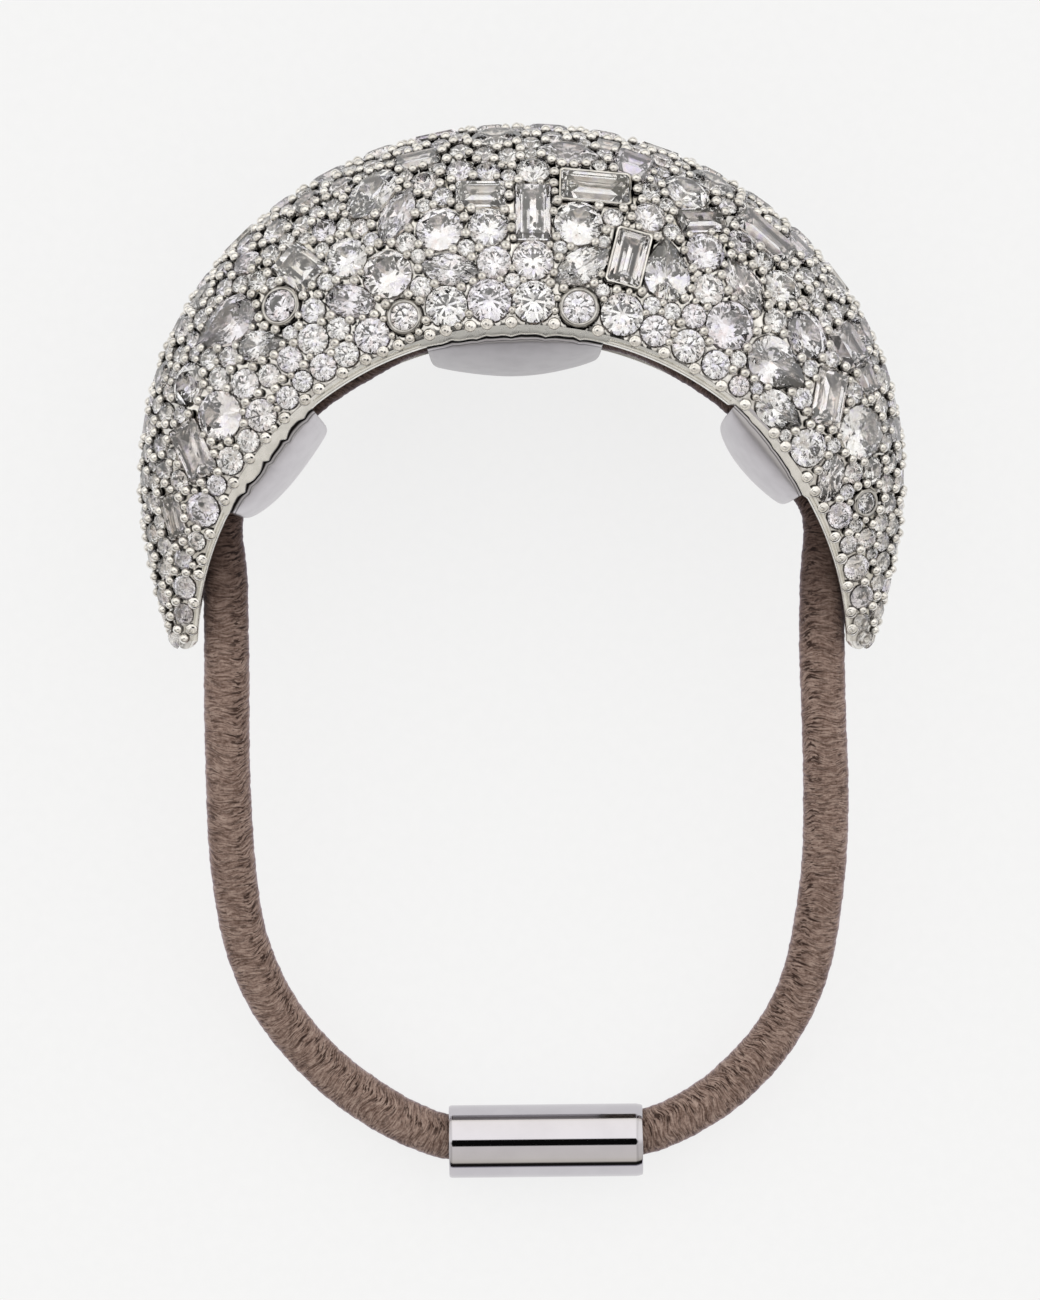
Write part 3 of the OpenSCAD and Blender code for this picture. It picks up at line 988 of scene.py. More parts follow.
@dataclass
class StoneCutter:
    """Gives each stone its facets, from the width that it has."""

    crown_share: float = 0.17
    crown_range: Pair = (0.26, 0.52)
    pavilion_share: float = 0.43
    deepest: float = 1.68
    pear_culet: float = -0.12
    pattern_crown: float = 0.4
    field_pavilion: float = 0.6
    brilliant: BrilliantCut = field(default_factory=BrilliantCut)
    steps: StepCut = field(default_factory=StepCut)

    def heights(self, width: float) -> Pair:
        """Gives the height of a stone's crown and the depth of its pavilion.

        Args:
            width: the stone's width, mm.

        Returns:
            Crown and pavilion, mm.
        """
        low, high = self.crown_range
        return (
            float(np.clip(self.crown_share * width, low, high)),
            min(self.pavilion_share * width, self.deepest),
        )

    def facets(
        self, cut: Cut, length: float, width: float, crown: float, pavilion: float
    ) -> Form:
        """Cuts a stone lying in its own axes.

        Args:
            cut: its cut.
            length: its length, mm.
            width: its width, mm.
            crown: height of the table over the girdle.
            pavilion: depth below it.

        Returns:
            Points and faces.
        """
        if cut in (Cut.STEP, Cut.LONG_STEP):
            return self.steps.build(length, width, crown, pavilion)
        edge = girdle_line(cut, length, width, self.brilliant.sides)
        centre = self.pear_culet * length if cut == Cut.PEAR else 0.0
        return self.brilliant.build(edge, crown, pavilion, centre)

    def pattern(self, cut: Cut) -> Piece:
        """Makes the pattern of a cut, one unit long, wide and deep, for Geometry Nodes.

        Args:
            cut: the cut.

        Returns:
            The pattern, which isn't in the scene yet.
        """
        aspect = {Cut.LONG_STEP: 1.9, Cut.STEP: 1.35, Cut.PEAR: 1.4, Cut.MARQUISE: 1.9}
        length = aspect.get(cut, 1.0)
        points, faces = self.facets(cut, length, 1.0, self.pattern_crown, 1.0)
        points = points / np.array([length, 1.0, 1.0])
        mesh = bpy.data.meshes.new(f"cut_{int(cut)}_{cut.name.lower()}")
        mesh.from_pydata((points * MM).tolist(), [], faces)
        close_up(mesh, 1e-8)
        return bpy.data.objects.new(mesh.name, mesh)

    def scale(self, stone: Stone) -> Triple:
        """Gives the size that a pattern takes for a stone."""
        crown, pavilion = self.heights(stone.width)
        return stone.length, stone.width, pavilion * self.field_pavilion + crown

    def cut_single(self, stone: Stone) -> Piece:
        """Cuts a main stone as an object of its own.

        Args:
            stone: the stone.

        Returns:
            The new object.
        """
        heights = self.heights(stone.width)
        points, faces = self.facets(stone.cut, stone.length, stone.width, *heights)
        piece = solid(f"{stone.name}_gem", stone.world(points), faces)
        count = len(piece.data.vertices)
        paint_points(piece.data, "tint", "FLOAT_COLOR", np.tile(stone.tint, (count, 1)))
        return piece


@dataclass
class StoneReader:
    """Reads the stones' places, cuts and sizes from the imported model, where a round or step cut
    has eight sides and a pear or marquise ten. A real stone's curved edge bulges past the flats
    between those corners, so its size is the measured one divided by a share."""

    dome: Dome
    girdle: float = 0.6
    pointed_sides: int = 10
    round_share: float = 0.924
    pear_share: float = 1.003
    pear_taper: float = 1.2
    long_from: float = 1.6
    flat_side: float = 0.5
    round_below: float = 1.09
    tints: tuple[str, ...] = (
        "#FFFFFF", "#FFFFFF", "#FEFDFF", "#FFFFFF", "#FFFDFD", "#FCFBFF", "#F8F6FC",
    )

    def solids(self, node: str) -> list[Array]:
        """Splits a node into its loose solids.

        Args:
            node: name of a CAD node.

        Returns:
            The corner points of each solid, loop coordinates in mm.
        """
        work = bmesh.new()
        work.from_mesh(frame["nodes"][node].data)
        bmesh.ops.remove_doubles(work, verts=work.verts, dist=2e-6)
        left, found = set(work.verts), []
        while left:
            stack, group = [left.pop()], []
            while stack:
                corner = stack.pop()
                group.append(tuple(corner.co))
                for link in corner.link_edges:
                    other = link.other_vert(corner)
                    if other in left:
                        left.remove(other)
                        stack.append(other)
            found.append(from_row(np.array(group)))
        work.free()
        return sorted(found, key=lambda g: tuple(np.round(g.mean(0), 3)))

    def read(self, name: str, corners: Array, mount: Mount, number: int) -> Stone:
        """Measures one stone.

        Args:
            name: the stone's name.
            corners: its corner points.
            mount: how it is held.
            number: picks its tint.

        Returns:
            The stone.
        """
        middle = corners.mean(0)
        t, f = self.dome.locate(middle[None], self.girdle)
        rough = self.dome.normal(t, f)[0]
        sides = len(corners) // 3
        order = np.argsort(corners @ rough)
        ring = corners[order[sides : 2 * sides]]
        place = ring.mean(0)
        _, _, axes = np.linalg.svd(ring - place)
        normal = axes[2] * np.sign(axes[2] @ rough)
        along = axes[0]
        across = np.cross(normal, along)
        x, y = (ring - place) @ along, (ring - place) @ across
        if sides == self.pointed_sides:
            wide = [np.abs(y)[s * x > 0.1 * x.max()].mean() for s in (1, -1)]
            cut = Cut.PEAR if max(wide) / min(wide) > self.pear_taper else Cut.MARQUISE
            if cut == Cut.PEAR and wide[0] > wide[1]:
                along, across = -along, -across
            share = (1.0, self.pear_share if cut == Cut.PEAR else self.round_share)
        else:
            loop = ring[np.argsort(np.arctan2(y, x))]
            longest = np.linalg.norm(loop - np.roll(loop, 1, 0), axis=-1).max()
            step = longest > self.flat_side * np.ptp(x)
            long = np.ptp(x) / np.ptp(y) > self.long_from
            cut = (Cut.LONG_STEP if long else Cut.STEP) if step else Cut.ROUND
            share = (1.0, 1.0) if step else (self.round_share, self.round_share)
        length, width = np.ptp(x) / share[0], np.ptp(y) / share[1]
        if cut == Cut.ROUND and length / width < self.round_below:
            length = width = 2 * np.linalg.norm(ring - place, axis=-1).max()
        tint = linear(self.tints[number % len(self.tints)])
        axes = np.array([along, across, normal])
        return Stone(name, cut, mount, length, width, place, axes, float(t[0]), tint)

    def main_stones(self) -> list[Stone]:
        """Reads the stones that are nodes of their own.

        Returns:
            The stones, in the order of their names.
        """
        found = []
        for name in sorted(frame["nodes"]):
            if "_front_" not in name and "_back_" not in name:
                continue
            mount = next((m for m in Mount if name.startswith(m.value)), Mount.BEADS)
            corners = self.solids(name)[0]
            found.append(self.read(name, corners, mount, len(found)))
        return found

    def field_stones(self, node: str) -> list[Stone]:
        """Reads the stones of a node that holds many."""
        numbered = enumerate(self.solids(node))
        return [self.read(f"{node}_{k}", c, Mount.BEADS, 3 * k) for k, c in numbered]


@dataclass(frozen=True)
class CloseSetting:
    """Widens the stones a little, until they almost touch as set stones do: the solids keep
    the clear space that loose solids need."""

    most: float = 1.14
    step: float = 0.02
    space: float = 0.05
    rim: float = 0.28
    search: Pair = (0.62, 0.6)
    same_side: float = 0.4

    def gap(self, one: Stone, share: float, other: Stone) -> float:
        """Measures the space between a widened stone and another.

        Args:
            one: the stone that is widened.
            share: its new width as a share of the old.
            other: its neighbour.

        Returns:
            The smallest distance between their edges or rims, mm.
        """
        grow = (share - 1) * one.width / 2 + (self.rim if one.mount != Mount.BEADS else 0)
        edge = one.edge(EDGE_SIDES, grow)
        flat = np.column_stack([edge, np.zeros(len(edge))])
        line = other.edge(EDGE_SIDES, self.rim if other.mount != Mount.BEADS else 0.0)
        seen = other.local(one.world(flat))[:, :2]
        return float(outline_distance(seen, line).min())

    def widen(self, stones: Sequence[Stone]) -> None:
        """Widens each stone in turn as far as its neighbours let it.

        Args:
            stones: all the stones, which are changed.
        """
        places = np.array([s.place for s in stones])
        share, more = self.search
        for number in np.argsort([-s.width for s in stones]):
            one = stones[number]
            apart = np.linalg.norm(places - one.place, axis=1)
            near = [
                other
                for other, d in zip(stones, apart)
                if 0 < d < (one.length + other.length) * share + more
                and one.axes[2] @ other.axes[2] > self.same_side
            ]
            wider = self.most
            while wider > 1 and any(self.gap(one, wider, o) < self.space for o in near):
                wider -= self.step
            if wider > 1:
                grow = (wider - 1) * one.width
                one.length, one.width = one.length + grow, one.width + grow


# filling in


def outline_distance(points: Array, line: Array) -> Array:
    """Measures distances to a closed line in a plane.

    Args:
        points: places as (n, 2).
        line: the line's corners as (m, 2), anticlockwise.

    Returns:
        Distances, negative inside.
    """
    after = np.roll(line, -1, 0)
    way = after - line
    rel = points[:, None] - line[None]
    k = np.clip(np.sum(rel * way, -1) / np.maximum(np.sum(way * way, -1), 1e-9), 0, 1)
    gap = np.linalg.norm(rel - k[..., None] * way, axis=-1).min(1)
    inside = np.all(way[:, 0] * rel[..., 1] - way[:, 1] * rel[..., 0] > 0, axis=1)
    return np.where(inside, -gap, gap)


def clearance(points: Array, normals: Array, stones: Sequence[Stone], far: float) -> Array:
    """Measures how far surface points lie from the nearest stone.

    Args:
        points: places on the dome.
        normals: the dome's normals there.
        stones: the stones.
        far: distances beyond this aren't measured.

    Returns:
        Distances in mm, negative under a stone.
    """
    gaps = np.full(len(points), far)
    for stone in stones:
        near = np.all(np.abs(points - stone.place) < stone.length / 2 + far, axis=-1)
        picks = np.nonzero(near)[0]
        picks = picks[normals[picks] @ stone.axes[2] > SAME_SIDE]
        if not len(picks):
            continue
        grow = 0.0 if stone.mount == Mount.BEADS else RIM_WIDTH
        flat = stone.local(points[picks])[:, :2]
        gap = outline_distance(flat, stone.edge(EDGE_SIDES)) - grow
        gaps[picks] = np.minimum(gaps[picks], gap)
    return gaps


@dataclass
class Bead:
    """A bead of metal pushed over the edges of stones."""

    place: Array
    normal: Array
    radius: float
    height: float = 1.0


@dataclass
class GapFiller:
    """Fills what the charted stones leave: first fine stones, then beads, both on places of a
    fine grid. Fine stones keep a little space between them and stay clear of the border."""

    dome: Dome
    spacing: float = 0.16
    around: float = 48.0
    jitter: float = 0.4
    far: float = 2.2
    same_side: float = 0.2
    margin: float = 0.3
    finest: float = 0.55
    coarsest: float = 0.95
    space: float = 0.07
    border_space: float = 0.25
    bead_sizes: tuple[float, ...] = (0.47, 0.42, 0.36)
    overlap: float = 0.21
    bead_depth: float = 0.3
    bead_lift: Pair = (-0.06, 0.08)
    bead_luck: float = 0.03
    bead_space: float = 0.02
    bead_border: float = 0.8
    bead_reach: float = 1.0
    button: float = 0.58
    button_height: float = 0.42
    button_inset: float = 0.22
    button_pitch: float = 1.45
    button_room: float = 0.14
    button_depth: float = 0.45
    button_far: float = 1.5
    pip: float = 0.6
    pip_height: float = 0.55
    pip_place: Pair = (0.1, 0.08)

    def __post_init__(self) -> None:
        """Lays a fine grid of places over the dome."""
        t = self.dome.stations(self.spacing)[0][7:-7]
        rows = int(self.around / self.spacing)
        k = np.linspace(-1, 1, rows)
        limit = 90 - self.dome.lip_angle(t)
        f = limit[:, None] * k[None]
        t = np.repeat(t[:, None], rows, 1)
        rng = np.random.default_rng(SEED)
        f = f + rng.uniform(-self.jitter, self.jitter, t.shape) * 180 / rows
        self.t, self.f = t.ravel(), f.ravel()
        self.points = self.dome.skin(self.t, self.f, self.dome.girdle)
        self.normals = self.dome.normal(self.t, self.f)
        limit = np.repeat(limit[:, None], rows, 1).ravel()
        self.border = np.radians(limit - np.abs(self.f)) * self.dome.reach(self.t)
        self.tree = tree_of(self.points)

    def near(self, number: int, reach: float) -> tuple[Array, Array]:
        """Finds the places near one of them, on the same side of the dome.

        Args:
            number: the place's number.
            reach: how far to look, mm.

        Returns:
            The numbers of the places near it, and their distances.
        """
        found = self.tree.find_range(self.points[number], reach)
        picks = np.array([hit[1] for hit in found])
        gaps = np.array([hit[2] for hit in found])
        same = self.normals[picks] @ self.normals[number] > self.same_side
        return picks[same], gaps[same]

    def fine_stones(self, stones: list[Stone]) -> list[Stone]:
        """Puts small round stones into the larger gaps.

        Args:
            stones: the stones that are there already.

        Returns:
            The new stones.
        """
        self.gaps = clearance(self.points, self.normals, stones, self.far)
        room = np.minimum(self.gaps, self.border - self.border_space)
        added: list[Stone] = []
        while True:
            best = int(np.argmax(room))
            radius = min(self.coarsest, room[best] - self.space)
            if radius < self.finest:
                break
            n = self.normals[best]
            along = unit(np.cross(n, [0.3, 0.1, 0.9]))
            axes = np.array([along, np.cross(n, along), n])
            added.append(
                Stone(
                    f"fine_{len(added)}", Cut.ROUND, Mount.BEADS, 2 * radius, 2 * radius,
                    self.points[best], axes, float(self.t[best]),
                )
            )
            picks, gaps = self.near(best, radius + self.coarsest + self.margin)
            room[picks] = np.minimum(room[picks], gaps - radius)
            self.gaps[picks] = np.minimum(self.gaps[picks], gaps - radius)
        return added

    def rim_buttons(self, stones: Sequence[Stone]) -> list[Bead]:
        """Sets flattened beads with a smaller one on each, where the plain border runs up
        between two stones.

        Args:
            stones: all the stones.

        Returns:
            The beads, two for each place.
        """
        found: list[Bead] = []
        rise, shift = self.pip_place
        t = self.dome.stations(0.2)[0][12:-12]
        inset = self.dome.lip_angle(t) + np.degrees(self.button_inset / self.dome.reach(t))
        for side in (1, -1):
            f = side * (90 - inset)
            points = self.dome.skin(t, f, self.dome.girdle)
            normals = self.dome.normal(t, f)
            gap = clearance(points, normals, stones, self.button_far)
            kept: list[Array] = []
            for number in np.argsort(-gap):
                if gap[number] < self.button_room:
                    break
                place, normal = points[number], normals[number]
                if any(np.linalg.norm(place - p) < self.button_pitch for p in kept):
                    continue
                kept.append(place)
                low = self.dome.skin(t[number], f[number], self.button_depth)
                aside = unit(np.cross(normal, [0.3, 0.9, 0.1]))
                high = low + rise * normal + shift * aside
                found.append(Bead(low, normal, self.button, self.button_height))
                found.append(Bead(high, normal, self.pip * self.button, self.pip_height))
        return found

    def beads(self, taken: Sequence[Bead]) -> list[Bead]:
        """Sets beads over the edges of the stones, the tightest places first.

        Args:
            taken: beads that are there already.

        Returns:
            The new beads.
        """
        rng = np.random.default_rng(SEED + 1)
        free = np.full(len(self.points), np.inf)
        for bead in taken:
            reach = bead.radius + self.bead_reach
            for _, number, apart in self.tree.find_range(bead.place, reach):
                free[number] = min(free[number], apart - bead.radius)
        found: list[Bead] = []
        for radius in self.bead_sizes:
            need = radius - self.overlap
            fits = (self.gaps > need) & (self.border > radius * self.bead_border)
            order = np.nonzero(fits)[0]
            luck = rng.uniform(0, self.bead_luck, len(order))
            order = order[np.argsort(self.gaps[order] + luck)]
            for number in order:
                if free[number] < radius + self.bead_space:
                    continue
                lift = self.bead_depth + rng.uniform(*self.bead_lift)
                t, f = self.t[number], self.f[number]
                place = self.dome.skin(t, f, lift)
                found.append(Bead(place, self.normals[number], radius))
                picks, gaps = self.near(int(number), radius + self.bead_reach)
                free[picks] = np.minimum(free[picks], gaps - radius)
        return found


# Geometry Nodes


@dataclass
class NodeKit:
    """A Geometry Nodes tree that puts instances on points and turns them into a mesh."""

    name: str
    tree: Tree = field(init=False)

    def __post_init__(self) -> None:
        """Starts the tree with its geometry sockets and its material input."""
        self.tree = bpy.data.node_groups.new(self.name, "GeometryNodeTree")
        self.socket("Places", "NodeSocketGeometry")
        self.socket("Material", "NodeSocketMaterial")
        self.tree.interface.new_socket(
            "Geometry", in_out="OUTPUT", socket_type="NodeSocketGeometry"
        )
        self.inputs = add_node(self.tree, "NodeGroupInput")

    def socket(self, name: str, kind: str, default: Any = None) -> None:
        """Adds a named input.

        Args:
            name: the input's name.
            kind: its socket type.
            default: its default, or None to leave it open.
        """
        item = self.tree.interface.new_socket(name, in_out="INPUT", socket_type=kind)
        if default is not None:
            item.default_value = default

    def named(self, name: str, kind: str) -> Socket:
        """Reads an attribute of the places.

        Args:
            name: the attribute's name.
            kind: its data type.

        Returns:
            Its values.
        """
        node = add_node(
            self.tree, "GeometryNodeInputNamedAttribute", {"Name": name}, data_type=kind
        )
        return next(s for s in node.outputs if s.enabled and s.name == "Attribute")

    def spread(self, instance: Socket, **links: Any) -> None:
        """Ends the tree: instances on the places, realized, with the material set.

        Args:
            instance: the geometry to repeat.
            **links: more inputs of Instance on Points.
        """
        inputs = {
            "Points": self.inputs.outputs["Places"],
            "Instance": instance,
            "Rotation": self.named("turn", "QUATERNION"),
            "Scale": self.named("size", "FLOAT_VECTOR"),
        }
        inputs.update({key.replace("_", " "): value for key, value in links.items()})
        shape = add_node(self.tree, "GeometryNodeInstanceOnPoints", inputs).outputs[0]
        real = add_node(self.tree, "GeometryNodeRealizeInstances", {"Geometry": shape})
        finish = {
            "Geometry": real.outputs["Geometry"],
            "Material": self.inputs.outputs["Material"],
        }
        shape = add_node(self.tree, "GeometryNodeSetMaterial", finish).outputs["Geometry"]
        add_node(self.tree, "NodeGroupOutput", {"Geometry": shape})

    def run(self, piece: Piece, values: dict[str, Any]) -> None:
        """Runs the tree on an object and keeps the result as its plain mesh.

        Args:
            piece: the object whose points are the places.
            values: the tree's inputs by name.
        """
        modifier = piece.modifiers.new(self.name, "NODES")
        modifier.node_group = self.tree
        for item in self.tree.interface.items_tree:
            if item.in_out == "INPUT" and item.name in values:
                modifier[item.identifier] = values[item.name]
        bpy.context.view_layer.update()
        graph = bpy.context.evaluated_depsgraph_get()
        mesh = bpy.data.meshes.new_from_object(
            piece.evaluated_get(graph), preserve_all_data_layers=True, depsgraph=graph
        )
        piece.modifiers.remove(modifier)
        piece.data = mesh
        mesh.name = piece.name
        for spare in {"turn", "size", "cut"} & set(mesh.attributes.keys()):
            mesh.attributes.remove(mesh.attributes[spare])


def turns_of(axes: Array) -> Array:
    """Turns sets of axes, as rows, into quaternions."""
    return np.array([tuple(Matrix(a.T.tolist()).to_quaternion()) for a in axes])


def places_object(name: str, places: Array, axes: Array, sizes: Array) -> Piece:
    """Makes an object of loose points that carry a turn and a size.

    Args:
        name: the piece's name.
        places: loop coordinates, mm.
        axes: rows along, across and out for each place.
        sizes: scale of the instance along the three.

    Returns:
        The object.
    """
    mesh = bpy.data.meshes.new(name)
    mesh.from_pydata(to_row(places).tolist(), [], [])
    paint_points(mesh, "turn", "QUATERNION", turns_of(axes))
    paint_points(mesh, "size", "FLOAT_VECTOR", sizes)
    return new_object(name, mesh)


@dataclass
class StoneField:
    """The stones of one side that aren't nodes of their own."""

    cutter: StoneCutter
    material: Material

    def __post_init__(self) -> None:
        """Builds the tree and the patterns of the cuts."""
        self.patterns = bpy.data.collections.new("cuts")
        for cut in Cut:
            self.patterns.objects.link(self.cutter.pattern(cut))
        bpy.context.scene.collection.children.link(self.patterns)
        self.kit = NodeKit("set_stones")
        self.kit.socket("Cuts", "NodeSocketCollection")
        source = {
            "Collection": self.kit.inputs.outputs["Cuts"],
            "Separate Children": True,
            "Reset Children": True,
        }
        cuts = add_node(self.kit.tree, "GeometryNodeCollectionInfo", source)
        number = self.kit.named("cut", "INT")
        self.kit.spread(cuts.outputs["Instances"], Pick_Instance=True, Instance_Index=number)

    def build(self, name: str, stones: Sequence[Stone], replaces: Sequence[str]) -> Piece:
        """Sets stones as one piece.

        Args:
            name: the piece's name.
            stones: the stones.
            replaces: the node that the piece stands for.

        Returns:
            The finished piece.
        """
        sizes = np.array([self.cutter.scale(stone) for stone in stones])
        place, axes, tints = (
            np.array([getattr(s, key) for s in stones]) for key in ("place", "axes", "tint")
        )
        piece = places_object(name, place, axes, sizes)
        cuts = np.array([int(s.cut) for s in stones], np.int32)
        paint_points(piece.data, "cut", "INT", cuts)
        paint_points(piece.data, "tint", "FLOAT_COLOR", tints)
        self.kit.run(piece, {"Cuts": self.patterns, "Material": self.material})
        return finish_piece(piece, None, replaces)

    def clear(self) -> None:
        """Removes the patterns, which aren't part of the piece."""
        for pattern in list(self.patterns.objects):
            bpy.data.objects.remove(pattern)
        bpy.data.collections.remove(self.patterns)


@dataclass
class BeadWork:
    """Beads of metal, made once as a ball and repeated. The shaded foot gives the heights between
    which painted shade darkens it, as shares of its radius; the dark reflection gives how dark a
    painted reflection spot at its top is."""

    material: Material
    segments: int = 10
    rings: int = 8
    foot: Pair = (0.35, -0.25)
    dark_reflection: float = 0.6

    def __post_init__(self) -> None:
        """Builds the tree: a ball with painted shade round its foot and a painted dark reflection
        spot at its top, on every place."""
        self.kit = NodeKit("set_beads")
        tree, inputs = self.kit.tree, self.kit.inputs.outputs
        self.kit.socket("Segments", "NodeSocketInt", self.segments)
        self.kit.socket("Rings", "NodeSocketInt", self.rings)
        self.kit.socket("Radius", "NodeSocketFloat", MM)
        shape = {key: inputs[key] for key in ("Segments", "Rings", "Radius")}
        ball = add_node(tree, "GeometryNodeMeshUVSphere", shape).outputs["Mesh"]
        ball = add_node(tree, "GeometryNodeSetShadeSmooth", {"Geometry": ball})
        place = add_node(tree, "GeometryNodeInputPosition").outputs["Position"]
        height = add_node(tree, "ShaderNodeSeparateXYZ", {"Vector": place}).outputs["Z"]
        # painted shade round the foot, and a painted dark reflection spot at the top of every bead
        high, low = (share * MM for share in self.foot)
        foot = remap(tree, height, (high, low))
        painted_dark_spot = remap(tree, height, (0.95 * MM, MM), (0.0, self.dark_reflection))
        values = {
            "Geometry": ball.outputs["Geometry"],
            "Name": "tarnish",
            "Value": maths(tree, "MAXIMUM", foot, painted_dark_spot),
        }
        stained = add_node(
            tree,
            "GeometryNodeStoreNamedAttribute",
            values,
            data_type="FLOAT",
            domain="POINT",
        )
        self.kit.spread(stained.outputs["Geometry"])

    def build(self, name: str, beads: Sequence[Bead]) -> Piece:
        """Sets beads as one piece.

        Args:
            name: the piece's name.
            beads: the beads.

        Returns:
            The finished piece.
        """
        normals = np.array([b.normal for b in beads])
        along = unit(np.cross(normals, [0.21, 0.13, 0.97]))
        axes = np.stack([along, np.cross(normals, along), normals], 1)
        sizes = np.array([(b.radius, b.radius, b.radius * b.height) for b in beads])
        piece = places_object(name, np.array([b.place for b in beads]), axes, sizes)
        shape = {"Segments": self.segments, "Rings": self.rings, "Radius": MM}
        self.kit.run(piece, {"Material": self.material, **shape})
        return finish_piece(piece, None)


# metalwork


@dataclass
class SettingWeb:
    """The metal between the stones, with a conical seat under each of them. Painted shade darkens
    it by the stones, beads and border, where shadow falls in the gaps, each with its strength and
    its width in mm."""

    dome: Dome
    stones: Sequence[Stone]
    beads: Sequence[Bead]
    material: Material
    spacing: float = 0.2
    level: float = 0.7
    step: float = 0.1
    slope: float = 0.95
    deepest: float = 2.2
    border: float = 1.3
    by_stone: Pair = (0.65, 0.1)
    by_bead: Pair = (0.3, 0.08)
    by_border: Pair = (0.5, 0.09)

    def painted_shading(self, points: Array, gap: Array, border: Array) -> Array:
        """Gives how much painted shade darkens the web round the stones and beads and by the
        border.

        Args:
            points: places on the web.
            gap: how far each lies from a stone, mm.
            border: how far each lies from the plain border, mm.

        Returns:
            Painted shade from 0 to 1.
        """
        tree = tree_of([bead.place for bead in self.beads])
        found = [tree.find(p) for p in points]
        apart = np.array([hit[2] - self.beads[hit[1]].radius for hit in found])
        # painted shade in the gaps by the stones, beads and border
        ways = (
            (self.by_stone, np.minimum(gap - 0.03, 0.5)),
            (self.by_bead, np.maximum(apart, 0)),
            (self.by_border, border),
        )
        return np.max([dark * bell(away, wide) for (dark, wide), away in ways], axis=0)

    def build(self, name: str, front: bool, rows: int) -> Piece:
        """Makes the web of one side.

        Args:
            name: the piece's name.
            front: whether it is the front.
            rows: number of rows of points from the crest to the rim.

        Returns:
            The finished piece.
        """
        t, shrink = (v[:, None] for v in self.dome.stations(self.spacing))
        top = 90 - self.dome.lip_angle(t)
        k = np.append(np.linspace(0, 1, rows), 1.0)[None]
        f = top * k * (1 if front else -1)
        t, shrink = t + 0 * f, shrink + 0 * f
        flat = self.dome.skin(t, f, self.dome.girdle, shrink).reshape(-1, 3)
        normals = self.dome.normal(t, np.clip(f, -89, 89)).reshape(-1, 3)
        gap = clearance(flat, normals, self.stones, 0.6).reshape(f.shape)
        seat = self.level + self.step - self.slope * gap
        depth = np.minimum(np.where(gap > 0, self.level, seat), self.deepest)
        depth[:, -1] = self.border
        points = self.dome.skin(t, f, depth, shrink).reshape(-1, 3)
        faces = np.array(grid_faces(*f.shape))
        a, b, d = (points[faces[:, i]] for i in (0, 1, 3))
        if (np.cross(b - a, d - a) * normals[faces[:, 0]]).sum() < 0:
            faces = faces[:, ::-1]
        piece = solid(name, points, faces.tolist(), True, closed=False)
        sharpen(piece, 35)
        border = np.radians(top - np.abs(f)) * self.dome.reach(t)
        dark = self.painted_shading(points, gap.ravel(), border.ravel())
        paint_points(piece.data, "tarnish", "FLOAT", dark)
        return finish_piece(piece, self.material, ["jewel_shell"])


